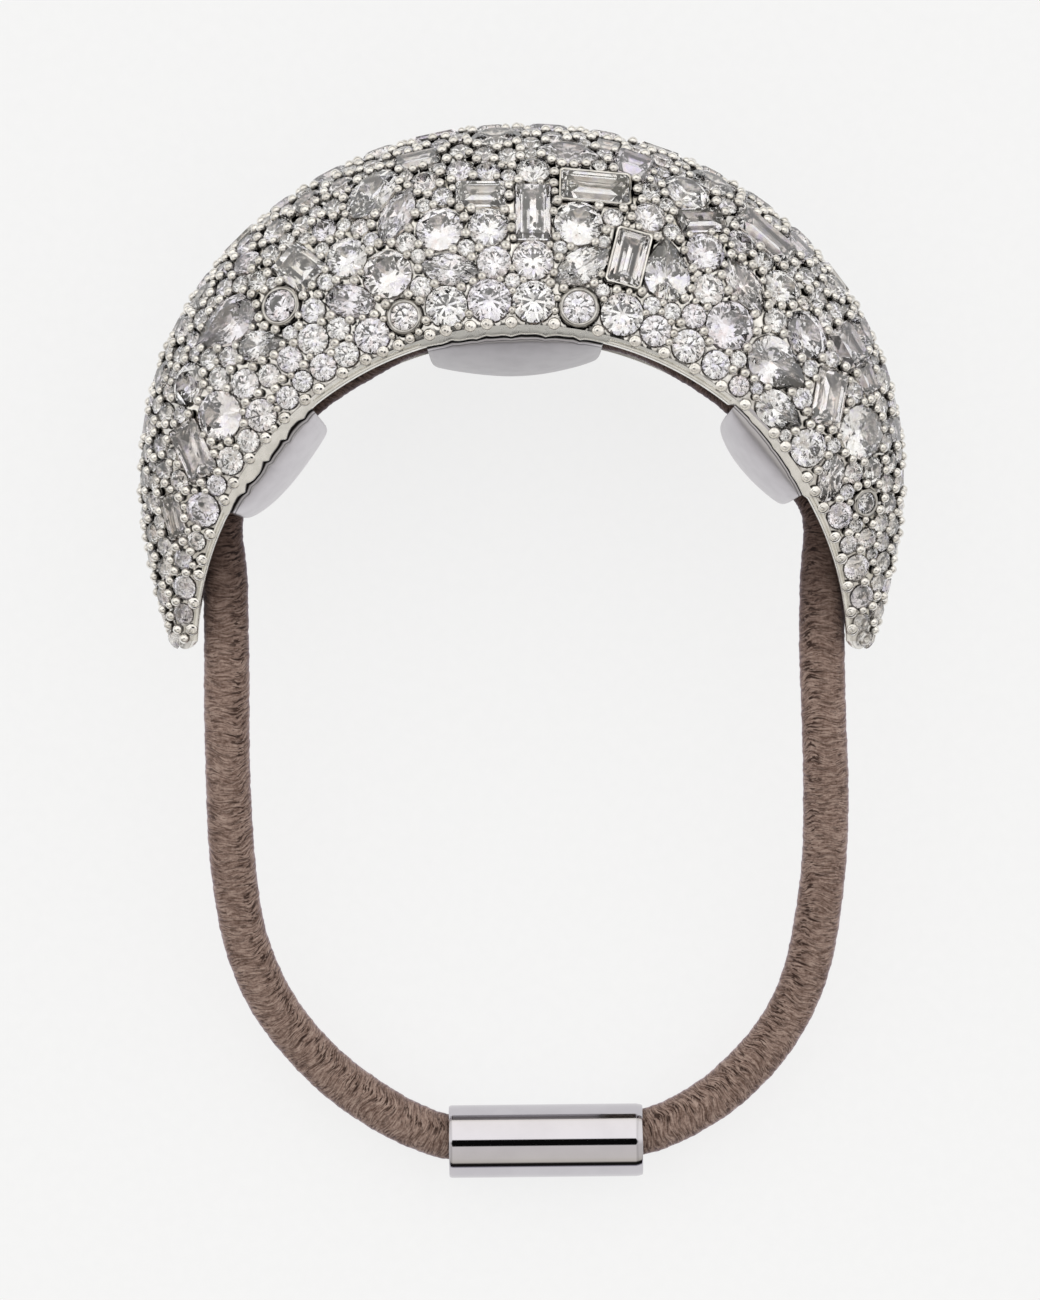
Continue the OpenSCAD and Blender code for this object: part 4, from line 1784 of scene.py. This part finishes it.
@dataclass(frozen=True)
class CordGuide:
    """One satin plate that arches from rim to rim over the elastic.

    Its bulge goes from one end to the middle to the other as a sine to a power. The shell's border
    covers it by a few tenths at its first end, its middle and its last end, or stands back from
    it. A seam, pressed in as a groove and darkened with painted shade, follows the border's edge
    in steps, and a fine line, pressed in and painted dark, runs beside it. The plate shade is
    painted shade laid evenly over the whole plate, except on a thin strip beside the fine line,
    which is left lighter. Marks are distances from the border's edge."""

    name: str
    first: float
    last: float
    ends: Pair
    bulge: float
    fullness: float
    cover: Triple
    step: float
    pitch: float
    seam_width: float
    # painted shade laid evenly over the whole plate
    plate_shade: float = 0.0
    rise: Pair = (0.62, 0.38)
    drift: Pair = (0.2, 1.1)
    fade: float = 8.0
    seam_least: float = 0.06
    seam_share: float = 0.55
    edge_run: float = 0.5
    top: Pair = (0.45, 0.1)
    underside: float = 2.4
    groove: float = 0.12
    line: float = 0.05
    line_at: float = 0.2
    plate: float = 0.8
    end_plate: float = 0.5
    corner: float = 0.32
    steps: int = 150
    arc_steps: int = 15
    marks: tuple[float, ...] = (
        -0.7, -0.08, 0.0, 0.03, 0.06, 0.09, 0.12, 0.16, 0.2, 0.24, 0.28, 0.32, 0.36, 0.4,
        0.44, 0.48, 0.52, 0.56, 0.6, 0.75,
    )

    def covers(self, t: float) -> bool:
        """Tells whether a station lies at the guide or within a degree of its ends."""
        return self.first - 1 < t < self.last + 1

    def share(self, t: float) -> float:
        """Tells how far along the guide a station lies, from 0 to 1."""
        return float(np.clip((t - self.first) / (self.last - self.first), 0, 1))

    def jog(self, t: float) -> float:
        """Gives the seam's stepped run: it rises slowly, drops fast and dies out at the ends.

        Args:
            t: a station, degrees.

        Returns:
            How far the run lies to either side, mm.
        """
        k = self.share(t)
        drift, pace = self.drift
        turn = ((t - self.first) / self.pitch + drift * np.sin(pace * t)) % 1
        fade = min(1.0, self.fade * k, self.fade * (1 - k))
        slow, fast = self.rise
        return float(fade * self.step * (min(turn / slow, (1 - turn) / fast) - 0.5))

    def seam(self, t: float) -> float:
        """Gives how far the border covers the plate.

        Args:
            t: a station, degrees.

        Returns:
            The cover, mm, negative where the plate stands clear.
        """
        k = self.share(t)
        low, middle, high = self.cover
        place = mix(low, high, k) + (middle - (low + high) / 2) * np.sin(np.pi * k)
        return float(place) + self.jog(t)

    def opening(self, t: float) -> float:
        """Gives the seam's width at a station: the plate's own edge is less stepped."""
        return max(self.seam_least, self.seam_width - self.seam_share * self.jog(t))

    def depth_at(self, dome: Dome, k: float) -> float:
        """Gives how far the plate bulges into the loop.

        Args:
            dome: the dome whose rims it joins.
            k: place along the guide, from 0 to 1.

        Returns:
            The bulge, mm.
        """
        end = mix(*self.ends, k)
        run = (self.last - self.first) * np.radians(dome.loop_rx)
        near_end = min(1.0, run * min(k, 1 - k) / self.edge_run)
        rounding = self.corner * (1 - np.sqrt(1 - (1 - near_end) ** 2))
        return end + (self.bulge - end) * np.sin(np.pi * k) ** self.fullness - rounding

    def section(self, dome: Dome, k: float, thin: float) -> Array:
        """Gives the closed section of the plate.

        Args:
            dome: the dome whose rims it joins.
            k: place along the guide, from 0 to 1.
            thin: share of the plate's thickness that is left.

        Returns:
            Points around the section.
        """
        t = mix(self.first, self.last, k)
        station, marks = np.array([t]), np.array(self.marks)
        rim = dome.rim(station)[0]
        inward = -unit(np.array([np.cos(np.radians(t)), np.sin(np.radians(t))]))
        a, ease = float(dome.reach(station)[0]), float(dome.ease(station)[0])
        outer = dome.ratio * a - ease * self.top[0] - self.top[1]
        inner = dome.ratio * a - ease * self.underside
        thick = mix(self.end_plate, self.plate, np.sin(np.pi * k))
        shift = thick * (1 - thin) / 2
        deep = self.depth_at(dome, k) - shift
        seam, wide = self.seam(t), self.opening(t)
        room = min(1.0, (0.85 * deep - seam) / marks[-1])
        place = (seam + marks * np.where(marks > 0, room, 1.0)) / deep
        half = np.arccos(np.maximum(place, -0.98))
        arc = np.linspace(half[-1], -half[-1], self.arc_steps)[1:-1]
        angle = np.concatenate([half, arc, -half[::-1]])
        rise = np.where(np.abs(angle) > np.pi / 2, np.sign(angle), np.sin(angle))
        press = self.groove * bell(marks - wide / 2, 0.4 * wide)
        press += self.line * bell(marks - wide - self.line_at, 0.04)
        press = np.concatenate([press, 0 * arc, press[::-1]])
        rows = []
        for depth, z in (
            (deep, (outer - press) * rise),
            (deep - thick * thin, mix(outer - 0.3, inner, thin) * rise),
        ):
            flat = rim + inward * (depth * np.cos(angle))[:, None]
            rows.append(np.column_stack([flat, z]))
        return np.vstack([rows[0], rows[1][::-1]])

    def painted_shading(self, t: float) -> Array:
        """Gives the painted shade round the section: in the seam, in a fine line beside it, and
        the plate shade over the rest, left off a thin strip beside the line.

        Args:
            t: a station, degrees.

        Returns:
            Painted shade from 0 to 1 at each point of the section.
        """
        marks, wide = np.array(self.marks), self.opening(t)
        # painted shade in the seam and in the fine line beside it
        dark = bell(marks - wide / 2, 0.6 * wide, 4)
        dark = np.maximum(dark, 0.8 * bell(marks - wide - self.line_at, 0.045))
        # a thin strip left clear of the plate's painted shade, so it reads lighter
        bright = bell(marks - wide - 0.1, 0.06)
        dark = np.maximum(dark, self.plate_shade * (1 - bright))
        plain = np.full(self.arc_steps - 2, self.plate_shade)
        outside = np.concatenate([dark, plain, dark[::-1]])
        return np.concatenate([outside, 0 * outside])

    def build(self, dome: Dome, material: Material) -> Piece:
        """Makes the plate, with its two end edges rounded.

        Args:
            dome: the dome whose rims it joins.
            material: its finish.

        Returns:
            The finished piece.
        """
        k = np.linspace(0.009, 0.991, self.steps - 4)
        k = np.concatenate([[0.0, 0.004], k, [0.996, 1.0]])
        thin = np.ones(len(k))
        thin[[0, -1]], thin[[1, -2]] = 0.55, 0.85
        rings = np.stack([self.section(dome, a, b) for a, b in zip(k, thin)])
        piece = capped_sweep(self.name, rings)
        sharpen(piece, 40)
        dark = np.stack([self.painted_shading(mix(self.first, self.last, a)) for a in k])
        paint_points(piece.data, "tarnish", "FLOAT", dark)
        return finish_piece(piece, material, ["jewel_shell"])


@dataclass
class ShellLining:
    """The cast wall seen from inside the loop, with its plain border along both rims. The
    border's inner edge is stepped where a guide lies against it."""

    dome: Dome
    guides: Sequence[CordGuide]
    material: Material
    spacing: float = 0.2
    lip_depth: float = 0.4
    corner: float = 0.3
    guided_corner: float = 0.12
    corner_share: float = 0.15
    edge_marks: tuple[float, ...] = (0.46, 0.4, 0.34)
    skirt: float = 0.3
    inner: float = 2.4
    outer: float = 2.3
    wall_steps: int = 12
    groove: float = 0.1

    def seam(self, t: float) -> float:
        """Gives how far the border reaches inwards over a guide.

        Args:
            t: a station, degrees.

        Returns:
            The reach, mm, 0 where there is no guide.
        """
        for guide in self.guides:
            if guide.covers(t):
                fade = min(1.0, t - guide.first + 1, guide.last + 1 - t)
                return fade * guide.seam(t)
        return 0.0

    def section(self, t: float, shrink: float) -> Array:
        """Gives the closed section of the wall and its two borders.

        Args:
            t: a station, degrees.
            shrink: share that is left of the cross-section there.

        Returns:
            Points around the section.
        """
        station = np.array([t])
        a = float(self.dome.reach(station)[0])
        top = float(90 - self.dome.lip_angle(station)[0])
        guided = any(guide.covers(t) for guide in self.guides)
        corner = self.guided_corner if guided else self.corner
        corner = min(corner, self.corner_share * a)
        turn, edge = np.degrees(corner / a), 90 + np.degrees(self.seam(t) / a)
        bow = np.radians(np.linspace(0, 90, 6))
        fine = np.degrees(np.array(self.edge_marks) / a)
        f = np.concatenate([[top, top], edge - fine, edge - turn + turn * np.sin(bow)])
        flat = [self.lip_depth + self.skirt, *[self.lip_depth] * 4]
        depth = np.concatenate([flat, self.lip_depth + corner * (1 - np.cos(bow))])
        depth[3] += 0.0 if guided else self.groove
        wall = np.linspace(f[-1], -f[-1], self.wall_steps)
        back = np.linspace(-top, top, self.wall_steps)
        inner, outer = (np.full(self.wall_steps, d) for d in (self.inner, self.outer))
        angles = np.concatenate([f, wall, -f[::-1], back])
        depths = np.concatenate([depth, inner, depth[::-1], outer])
        return self.dome.skin(np.full(len(angles), t), angles, depths, shrink)

    def build(self) -> Piece:
        """Makes the lining as one closed form.

        Returns:
            The finished piece.
        """
        t, shrink = self.dome.stations(self.spacing)
        rings = np.stack([self.section(a, b) for a, b in zip(t[1:-1], shrink[1:-1])])
        piece = capped_sweep("shell_lining", rings)
        sharpen(piece, 30)
        return finish_piece(piece, self.material, ["jewel_shell"])


@dataclass
class RimSetting:
    """A bezel or a frame: a rim of metal that follows a stone's girdle. Its profiles list how far
    out and how high each line lies, and how much painted shade darkens it."""

    material: Material
    frame: tuple[Triple, ...] = (
        (-0.05, -0.05, 0.9), (-0.04, 0.1, 0.5), (0.0, 0.17, 0.0), (0.08, 0.2, 0.0),
        (0.14, 0.17, 0.0), (0.18, 0.08, 0.5), (0.21, -0.3, 1.0), (0.1, -0.5, 1.0),
        (-0.04, -0.4, 1.0),
    )
    bezel: tuple[Triple, ...] = (
        (-0.18, 0.1, 1.0), (-0.16, 0.24, 0.8), (-0.08, 0.29, 0.3), (0.01, 0.3, 0.25),
        (0.07, 0.27, 0.65), (0.13, 0.24, 0.25), (0.2, 0.16, 0.35), (0.25, 0.0, 0.8),
        (0.28, -0.2, 1.0), (0.28, -0.35, 1.0), (0.1, -0.5, 1.0), (-0.12, -0.4, 1.0),
    )

    def build(self, stone: Stone) -> Piece:
        """Makes the rim round a stone.

        Args:
            stone: a main stone.

        Returns:
            The finished piece.
        """
        profile = self.bezel if stone.mount == Mount.BEZEL else self.frame
        sides = 8 if stone.cut in (Cut.STEP, Cut.LONG_STEP) else 40
        lines = [
            np.column_stack([stone.edge(sides, out), np.full(sides, up)])
            for out, up, _ in profile
        ]
        points = stone.world(np.vstack(lines))
        faces = np.array(grid_faces(len(profile) + 1, sides, wrap=True)) % len(points)
        piece = solid(f"{stone.name}_rim", points, faces.tolist(), True)
        sharpen(piece, 38)
        # painted shade from the profile's third column, deepest in the recesses by the stone and
        # below
        dark = np.repeat([row[2] for row in profile], sides)
        paint_points(piece.data, "tarnish", "FLOAT", dark)
        return finish_piece(piece, self.material)


# elastic


@dataclass
class ElasticCord:
    """The covered elastic, from one end in the ferrule round the loop to the other. Its turns
    sway and its radius has dents, each a sum of waves: height in mm, radians for each mm along
    it and for each radian round it, and phase. Round it the turns bow in steps: a share of the
    bow, and the degrees where a step starts and that it takes."""

    material: Material
    diameter: float = 4.0
    pitch: float = 0.6
    ring_gap: float = 0.1
    sides: int = 40
    swell: float = 0.012
    parting: float = 0.13
    thinner: float = 0.03
    # where along y the painted shadow of the shell begins, and over how many mm it comes in
    shadow_run: Pair = (-3.0, 13.0)
    bow: float = 0.5
    bows: tuple[Triple, ...] = (
        (1.0, 25, 50), (-0.45, 85, 85), (-0.55, 190, 150),
    )
    sways: tuple[tuple[float, float, float, float], ...] = (
        (0.1, 0.31, 3, 0), (0.08, -1.13, 5, 0), (0.09, 0.83, 2, 0), (0.04, 3.7, 1, 0),
        (0.03, 5.3, -4, 0), (0.02, 8.9, 5, 0),
    )
    dents: tuple[tuple[float, float, float, float], ...] = (
        (0.02, 0.47, 0, 0), (0.014, 2.3, 2, 0), (0.014, 4.1, -3, 1), (0.01, 7.3, 4, 2),
    )
    route: tuple[Triple, ...] = (
        (1.8, -42.8, -9.8), (-2, -42.8, -9.8), (-6.2, -42.6, -9.8), (-8.9, -41.8, -9.7),
        (-12.1, -40.2, -9.6), (-16.1, -37.4, -9.4), (-19.5, -34, -8.9), (-22, -30.5, -8.2),
        (-23.6, -27, -7.2), (-24.6, -23.4, -6.2), (-25.3, -18, -4.6), (-25.6, -12, -3),
        (-25.7, -6, -1.6), (-25.7, 0, -0.7), (-25.8, 6, -0.2), (-26.1, 12.2, 0),
        (-22.9, 17.5, 0), (-19, 22.1, 0), (-13.9, 25.5, 0), (-8.3, 28.1, 0),
        (0, 28.5, 0), (8.3, 28.1, 0), (14, 25.7, 0), (19.1, 22.2, 0),
        (22.9, 17.5, 0), (26.2, 12.4, 0), (26.1, 6, -0.2), (26.1, 0, -0.7),
        (26.3, -6, -1.6), (26.5, -12, -3), (26.4, -18, -4.6), (25.8, -23.4, -6.2),
        (25, -27.5, -7.4), (23.6, -31.2, -8.3), (21.3, -34.8, -9), (18.1, -38.1, -9.5),
        (15.6, -39.9, -9.7), (13, -41.3, -9.8), (10.2, -42.2, -9.8), (6.4, -42.5, -9.8),
        (2.4, -42.6, -9.8),
    )

    def centreline(self) -> tuple[Array, Array]:
        """Draws a smooth line through the route.

        Returns:
            Points evenly spaced along it, and how far along each one lies, mm.
        """
        p = np.array(self.route, float)
        p = np.vstack([2 * p[0] - p[1], p, 2 * p[-1] - p[-2]])
        k = np.linspace(0, 1, 40, endpoint=False)[:, None]
        parts = []
        for a, b, c, d in zip(p, p[1:], p[2:], p[3:]):
            parts.append(
                b
                + 0.5 * k * (c - a)
                + k**2 * (a - 2.5 * b + 2 * c - 0.5 * d)
                + k**3 * (1.5 * (b - c) + 0.5 * (d - a))
            )
        line = np.vstack(parts + [p[-2][None]])
        run = run_along(line)
        even = np.linspace(0, run[-1], int(run[-1] / self.ring_gap))
        return np.stack([np.interp(even, run, line[:, i]) for i in range(3)], -1), even

    @staticmethod
    def waves(table: Sequence[tuple[float, ...]], s: Array, angle: Array) -> Array:
        """Adds up the waves of a table at places s along the cord and angle round it."""
        return sum(high * np.sin(a * s + b * angle + c) for high, a, b, c in table)

    def winding(self, s: Array, angle: Array) -> tuple[Array, ...]:
        """Winds the yarn: its turns bow over the side that faces the camera, and part there
        now and then.

        Args:
            s: places along the cord, mm.
            angle: places round it, radians; 0 is towards the inside of the loop.

        Returns:
            How far along the yarn each place lies, mm, how wide it parts and how loose it is,
            both from 0 to 1.
        """
        degrees = np.degrees(angle)
        bow = sum(part * smooth_step((degrees - a) / run) for part, a, run in self.bows)
        along = s + self.bow * bow + self.waves(self.sways, s, angle)
        turn = along / self.pitch
        line = np.abs(np.cos(np.pi * turn)) ** 11
        number = np.floor(turn + 0.5)
        luck = np.sin(12.9898 * number) * 43758.5453
        luck = luck - np.floor(luck)
        middle = 60 + 18 * np.sin(1.9 * number) + 12 * luck
        width = 12 + 10 * luck
        tick = bell(degrees - middle, width) + 0.6 * bell(degrees - 132 - 22 * luck, 11)
        parting = np.clip(line * tick * (0.25 + 0.75 * luck), 0, 1)
        loose = 0.3 + 0.7 * bell(degrees - 66, 28) + 0.45 * bell(degrees - 140, 16) + 0 * s
        return along, parting, np.minimum(loose, 1.0)

    def build(self) -> Piece:
        """Returns:
            The finished piece.
        """
        line, run = self.centreline()
        tangent = unit(np.gradient(line, axis=0))
        side = np.zeros_like(line)
        side[0] = unit(np.cross(tangent[0], [0, 0, 1.0]))
        for k in range(1, len(line)):
            side[k] = unit(side[k - 1] - tangent[k] * (side[k - 1] @ tangent[k]))
        up = np.cross(side, tangent)
        angle = ring_angles(self.sides)
        cos, sin = np.cos(angle), np.sin(angle)
        along, parting, loose = self.winding(run[:, None], angle[None])
        ribs = self.swell * np.cos(2 * np.pi * along / self.pitch + np.pi)
        radius = self.diameter / 2 - self.thinner + ribs - self.parting * parting
        radius += self.waves(self.dents, run[:, None], angle[None])
        ring = side[:, None] * cos[None, :, None] + up[:, None] * sin[None, :, None]
        piece = capped_sweep("elastic_braid", line[:, None] + ring * radius[..., None])
        # masks for the painted shade where the turns part and between the threads
        paint_points(piece.data, "rib", "FLOAT", parting.ravel())
        paint_points(piece.data, "loose", "FLOAT", loose.ravel())
        # painted shadow of the shell, coming in along y towards it
        start, run_in = self.shadow_run
        soil = smooth_step((line[:, 1] - start) / run_in)
        paint_points(piece.data, "soil", "FLOAT", np.repeat(soil, self.sides))
        r = self.diameter / 2
        weave = np.stack([along, r * cos + 0 * along, r * sin + 0 * along], -1)
        paint_points(piece.data, "weave", "FLOAT_VECTOR", weave.reshape(-1, 3))
        finish_piece(piece, self.material, ["elastic_cord"])
        return piece


@dataclass
class Ferrule:
    """The thin turned barrel over the two ends of the elastic."""

    material: Material
    diameter: float = 6.4
    length: float = 17.0
    bore: float = 5.6
    edge: float = 0.12
    middle: Triple = (2.1, -42.9, -9.8)
    turn: float = 0.6
    tapers: Pair = (0.3, 0.6)
    taper_slope: float = 0.17
    taper_marks: tuple[float, ...] = (0.45, 0.7, 0.85, 0.95, 1.05, 1.2)
    taper_power: float = 1.1
    lead: tuple[Pair, ...] = ((0.3, 0.0), (0.02, 0.12), (0.0, 0.15))
    sides: int = 128

    def outside(self, taper: float) -> list[Pair]:
        """Draws the outside from an end towards the middle.

        Args:
            taper: how far the end is drawn in, mm along the barrel.

        Returns:
            Distances from the end, each with a radius.
        """
        r, e = self.diameter / 2, self.edge
        drop = self.taper_slope * taper
        bow = np.radians(np.linspace(0, 90, 5))
        line = [(e * (1 - np.sin(a)), r - drop - e * (1 - np.cos(a))) for a in bow]
        for k in self.taper_marks:
            line.append((taper * k, r - drop * max(0.0, 1 - k) ** self.taper_power))
        return line

    def build(self) -> Piece:
        """Turns the barrel, with eased edges and a shallow lead into its bore.

        Returns:
            The finished piece.
        """
        h, b = self.length / 2, self.bore / 2
        ends = []
        for side, taper in zip((-1, 1), self.tapers):
            line = [(x, b + y) for x, y in self.lead] + sorted(self.outside(taper))
            ends.append([(side * (h - x), y) for x, y in line])
        profile = ends[0] + [(x, self.diameter / 2) for x in (-4.0, 0.0, 4.0)] + ends[1][::-1]
        x, radius = np.array(profile).T[..., None]
        angle = ring_angles(self.sides)
        y, z, x = radius * np.cos(angle), radius * np.sin(angle), x + 0 * angle
        lean = np.radians(self.turn)
        turned = [x * np.cos(lean) - y * np.sin(lean), x * np.sin(lean) + y * np.cos(lean), z]
        rings = np.stack(turned, -1) + np.array(self.middle)
        rings = np.concatenate([rings, rings[:1]])
        faces = grid_faces(rings.shape[0], self.sides, wrap=True)
        piece = solid("ferrule_barrel", rings.reshape(-1, 3), faces, True)
        sharpen(piece, 40)
        return finish_piece(piece, self.material, ["ferrule"])


# studio


@dataclass(frozen=True)
class Studio:
    """The photograph's viewing angle, a pale floor and plain soft light. Bands list the light
    from the foot of the picture over its middle to its head, panels the share of it that is
    left from the middle out to either side."""

    picture: tuple[int, int] = (1040, 1300)
    pixels_per_mm: float = 11.5
    eye: Triple = (-0.174, -22.726, 1026.0)
    middle_height: float = 13.05
    sensor: float = 36.0
    floor_size: float = 1.6
    sky_strength: float = 1.35
    slot: str = "#0A0A0A"
    slot_shape: float = 0.55
    slot_up: float = 0.06
    slot_edge: Pair = (0.16, 0.2)
    bands: tuple[tuple[float, str], ...] = (
        (0.0, "#B9B6BE"), (0.03, "#121212"), (0.09, "#1A1816"), (0.12, "#C4C0B6"),
        (0.2, "#CFCCC6"), (0.425, "#D0CDCA"), (0.54, "#FFFEFC"), (0.86, "#FFFDF8"),
        (0.93, "#E8E4D8"), (0.965, "#151515"), (1.0, "#151515"),
    )
    panels: tuple[Pair, ...] = (
        (0.08, 1.0), (0.16, 0.85), (0.24, 0.85), (0.27, 0.73), (0.32, 0.73), (0.35, 0.86),
        (0.7, 0.86), (0.9, 0.82),
    )

    def camera(self) -> Piece:
        """Makes the camera, which looks straight down.

        Returns:
            The camera.
        """
        data = bpy.data.cameras.new("camera")
        distance = self.eye[2] - self.middle_height
        data.sensor_width = data.sensor_height = self.sensor
        data.lens = self.sensor * distance * self.pixels_per_mm / max(self.picture)
        data.clip_start, data.clip_end = 0.05, 10.0
        camera = bpy.data.objects.new("camera", data)
        camera.location = [v * MM for v in self.eye]
        bpy.context.scene.collection.objects.link(camera)
        bpy.context.scene.camera = camera
        return camera

    def floor(self) -> Piece:
        """Lays the floor just under the piece.

        Returns:
            The floor.
        """
        s, z = self.floor_size / 2, -0.0001
        mesh = bpy.data.meshes.new("floor")
        corners = [(-s, -s, z), (s, -s, z), (s, s, z), (-s, s, z)]
        mesh.from_pydata(corners, [], [(0, 1, 2, 3)])
        floor = new_object("floor", mesh)
        mesh.materials.append(PaleFloor().make())
        return floor

    def sky(self) -> None:
        """Surrounds the piece with soft boxes: a bright one above, a dimmer one below the
        picture, a dark slot between them over the piece, dark edges, and frames and dimmer
        walls to the left and right."""
        world = bpy.data.worlds.new("studio")
        bpy.context.scene.world = world
        world.use_nodes = True
        tree = world.node_tree
        tree.nodes.clear()
        way = add_node(tree, "ShaderNodeTexCoord").outputs["Generated"]
        parts = add_node(tree, "ShaderNodeSeparateXYZ", {"Vector": way})
        x, y, z = (parts.outputs[k] for k in "XYZ")
        turn = remap(tree, maths(tree, "ARCTAN2", y, z), (-np.pi / 2, np.pi / 2))
        across = maths(tree, "ABSOLUTE", x)
        panels = add_ramp(tree, across, self.panels)
        boxes = blend(tree, 1.0, add_ramp(tree, turn, self.bands), panels, "MULTIPLY")
        aside = maths(tree, "MULTIPLY", across, self.slot_shape)
        off = {"X": aside, "Y": maths(tree, "ADD", y, self.slot_up)}
        off = add_node(tree, "ShaderNodeCombineXYZ", off).outputs[0]
        far = add_node(tree, "ShaderNodeVectorMath", {0: off}, operation="LENGTH")
        lit = add_ramp(tree, far.outputs["Value"], list(zip(self.slot_edge, (0.0, 1.0))))
        lit = maths(tree, "MAXIMUM", lit, maths(tree, "LESS_THAN", z))
        values = {
            "Color": blend(tree, lit, linear(self.slot), boxes),
            "Strength": self.sky_strength,
        }
        back = add_node(tree, "ShaderNodeBackground", values).outputs["Background"]
        add_node(tree, "ShaderNodeOutputWorld", {"Surface": back})

    def settings(self) -> None:
        """Sets plain colour and enough bounces for the stones."""
        scene = bpy.context.scene
        scene.view_settings.view_transform = "Standard"
        scene.view_settings.look = "None"
        scene.cycles.use_denoising = True
        scene.cycles.max_bounces = 20
        scene.cycles.transmission_bounces = 16
        scene.cycles.glossy_bounces = 8
        scene.cycles.diffuse_bounces = 3


# the whole


PLATINGS = (
    PolishedPlating(),
    PolishedPlating("bead_plating", "#F4F1EC", "#DAD6D0", (0.02, 0.05), 1.5, 0.01),
    PolishedPlating("satin_plating", "#D3D0D4", "#CECBCF", (0.36, 0.4), 1.5, 0.02),
    PolishedPlating("brushed_border", "#F3F1EC", "#E6E4DE", (0.24, 0.32), 0.7, 0.12),
    PolishedPlating("ferrule_plating", "#CAC7CC", "#C6C3C8", (0.04, 0.06), 3.0, 0.01),
)

WEB_ROWS = {"front": 116, "back": 84}

# the last number of the right and middle guides is the painted shade laid over their plates
GUIDES = (
    CordGuide(
        "guide_right", 30, 50, (1.7, 1.1), 3.05, 0.5, (0.25, -0.05, -0.4), 0.1, 6.0, 0.08,
        0.06,
    ),
    CordGuide(
        "guide_middle", 75.7, 106.9, (0.95, 1.3), 3.42, 0.75, (0.0, 0.22, 0.0), 0.22, 6.5,
        0.2, 0.32,
    ),
    CordGuide(
        "guide_left", 130, 153.8, (1.8, 0.9), 3.12, 0.5, (0.05, 0.38, 0.05), 0.38, 4.3, 0.24
    ),
)


def main() -> None:
    """Builds the studio and the hair tie, piece by piece."""
    logging.basicConfig(level=logging.INFO, format="%(message)s")
    studio = Studio()
    studio.camera()
    ElasticCord(WovenElastic().make()).build()
    studio.floor()
    studio.sky()
    studio.settings()

    dome = Dome()
    zirconia = CubicZirconia().make()
    plating, bright, satin, border, barrel = (finish.make() for finish in PLATINGS)
    Ferrule(barrel).build()

    reader = StoneReader(dome)
    cutter = StoneCutter()
    mains = reader.main_stones()
    fields = {name: reader.field_stones(name) for name in ("stones_front", "stones_back")}
    stones = mains + fields["stones_front"] + fields["stones_back"]
    CloseSetting().widen(stones)
    filler = GapFiller(dome)
    fine = filler.fine_stones(stones)
    buttons = filler.rim_buttons(stones + fine)
    beads = buttons + filler.beads(buttons)
    LOG.info("%d stones, %d fine stones, %d beads", len(stones), len(fine), len(beads))

    rims = RimSetting(plating)
    for stone in mains:
        finish_piece(cutter.cut_single(stone), zirconia, [stone.name])
        if stone.mount != Mount.BEADS:
            rims.build(stone)
    setter = StoneField(cutter, zirconia)
    for node, charted in fields.items():
        side = node.removeprefix("stones_")
        here = [s for s in fine if s.front == (side == "front")]
        setter.build(f"pave_{side}", charted + here, [node])
    setter.clear()
    bead_work = BeadWork(bright)
    for side in WEB_ROWS:
        here = [b for b in beads if (b.place[2] >= 0) == (side == "front")]
        bead_work.build(f"beads_{side}", here)

    web = SettingWeb(dome, stones + fine, beads, plating)
    for side, rows in WEB_ROWS.items():
        web.build(f"setting_web_{side}", side == "front", rows)
    ShellLining(dome, GUIDES, border).build()
    for guide in GUIDES:
        guide.build(dome, satin)


if __name__ == "__main__":
    main()
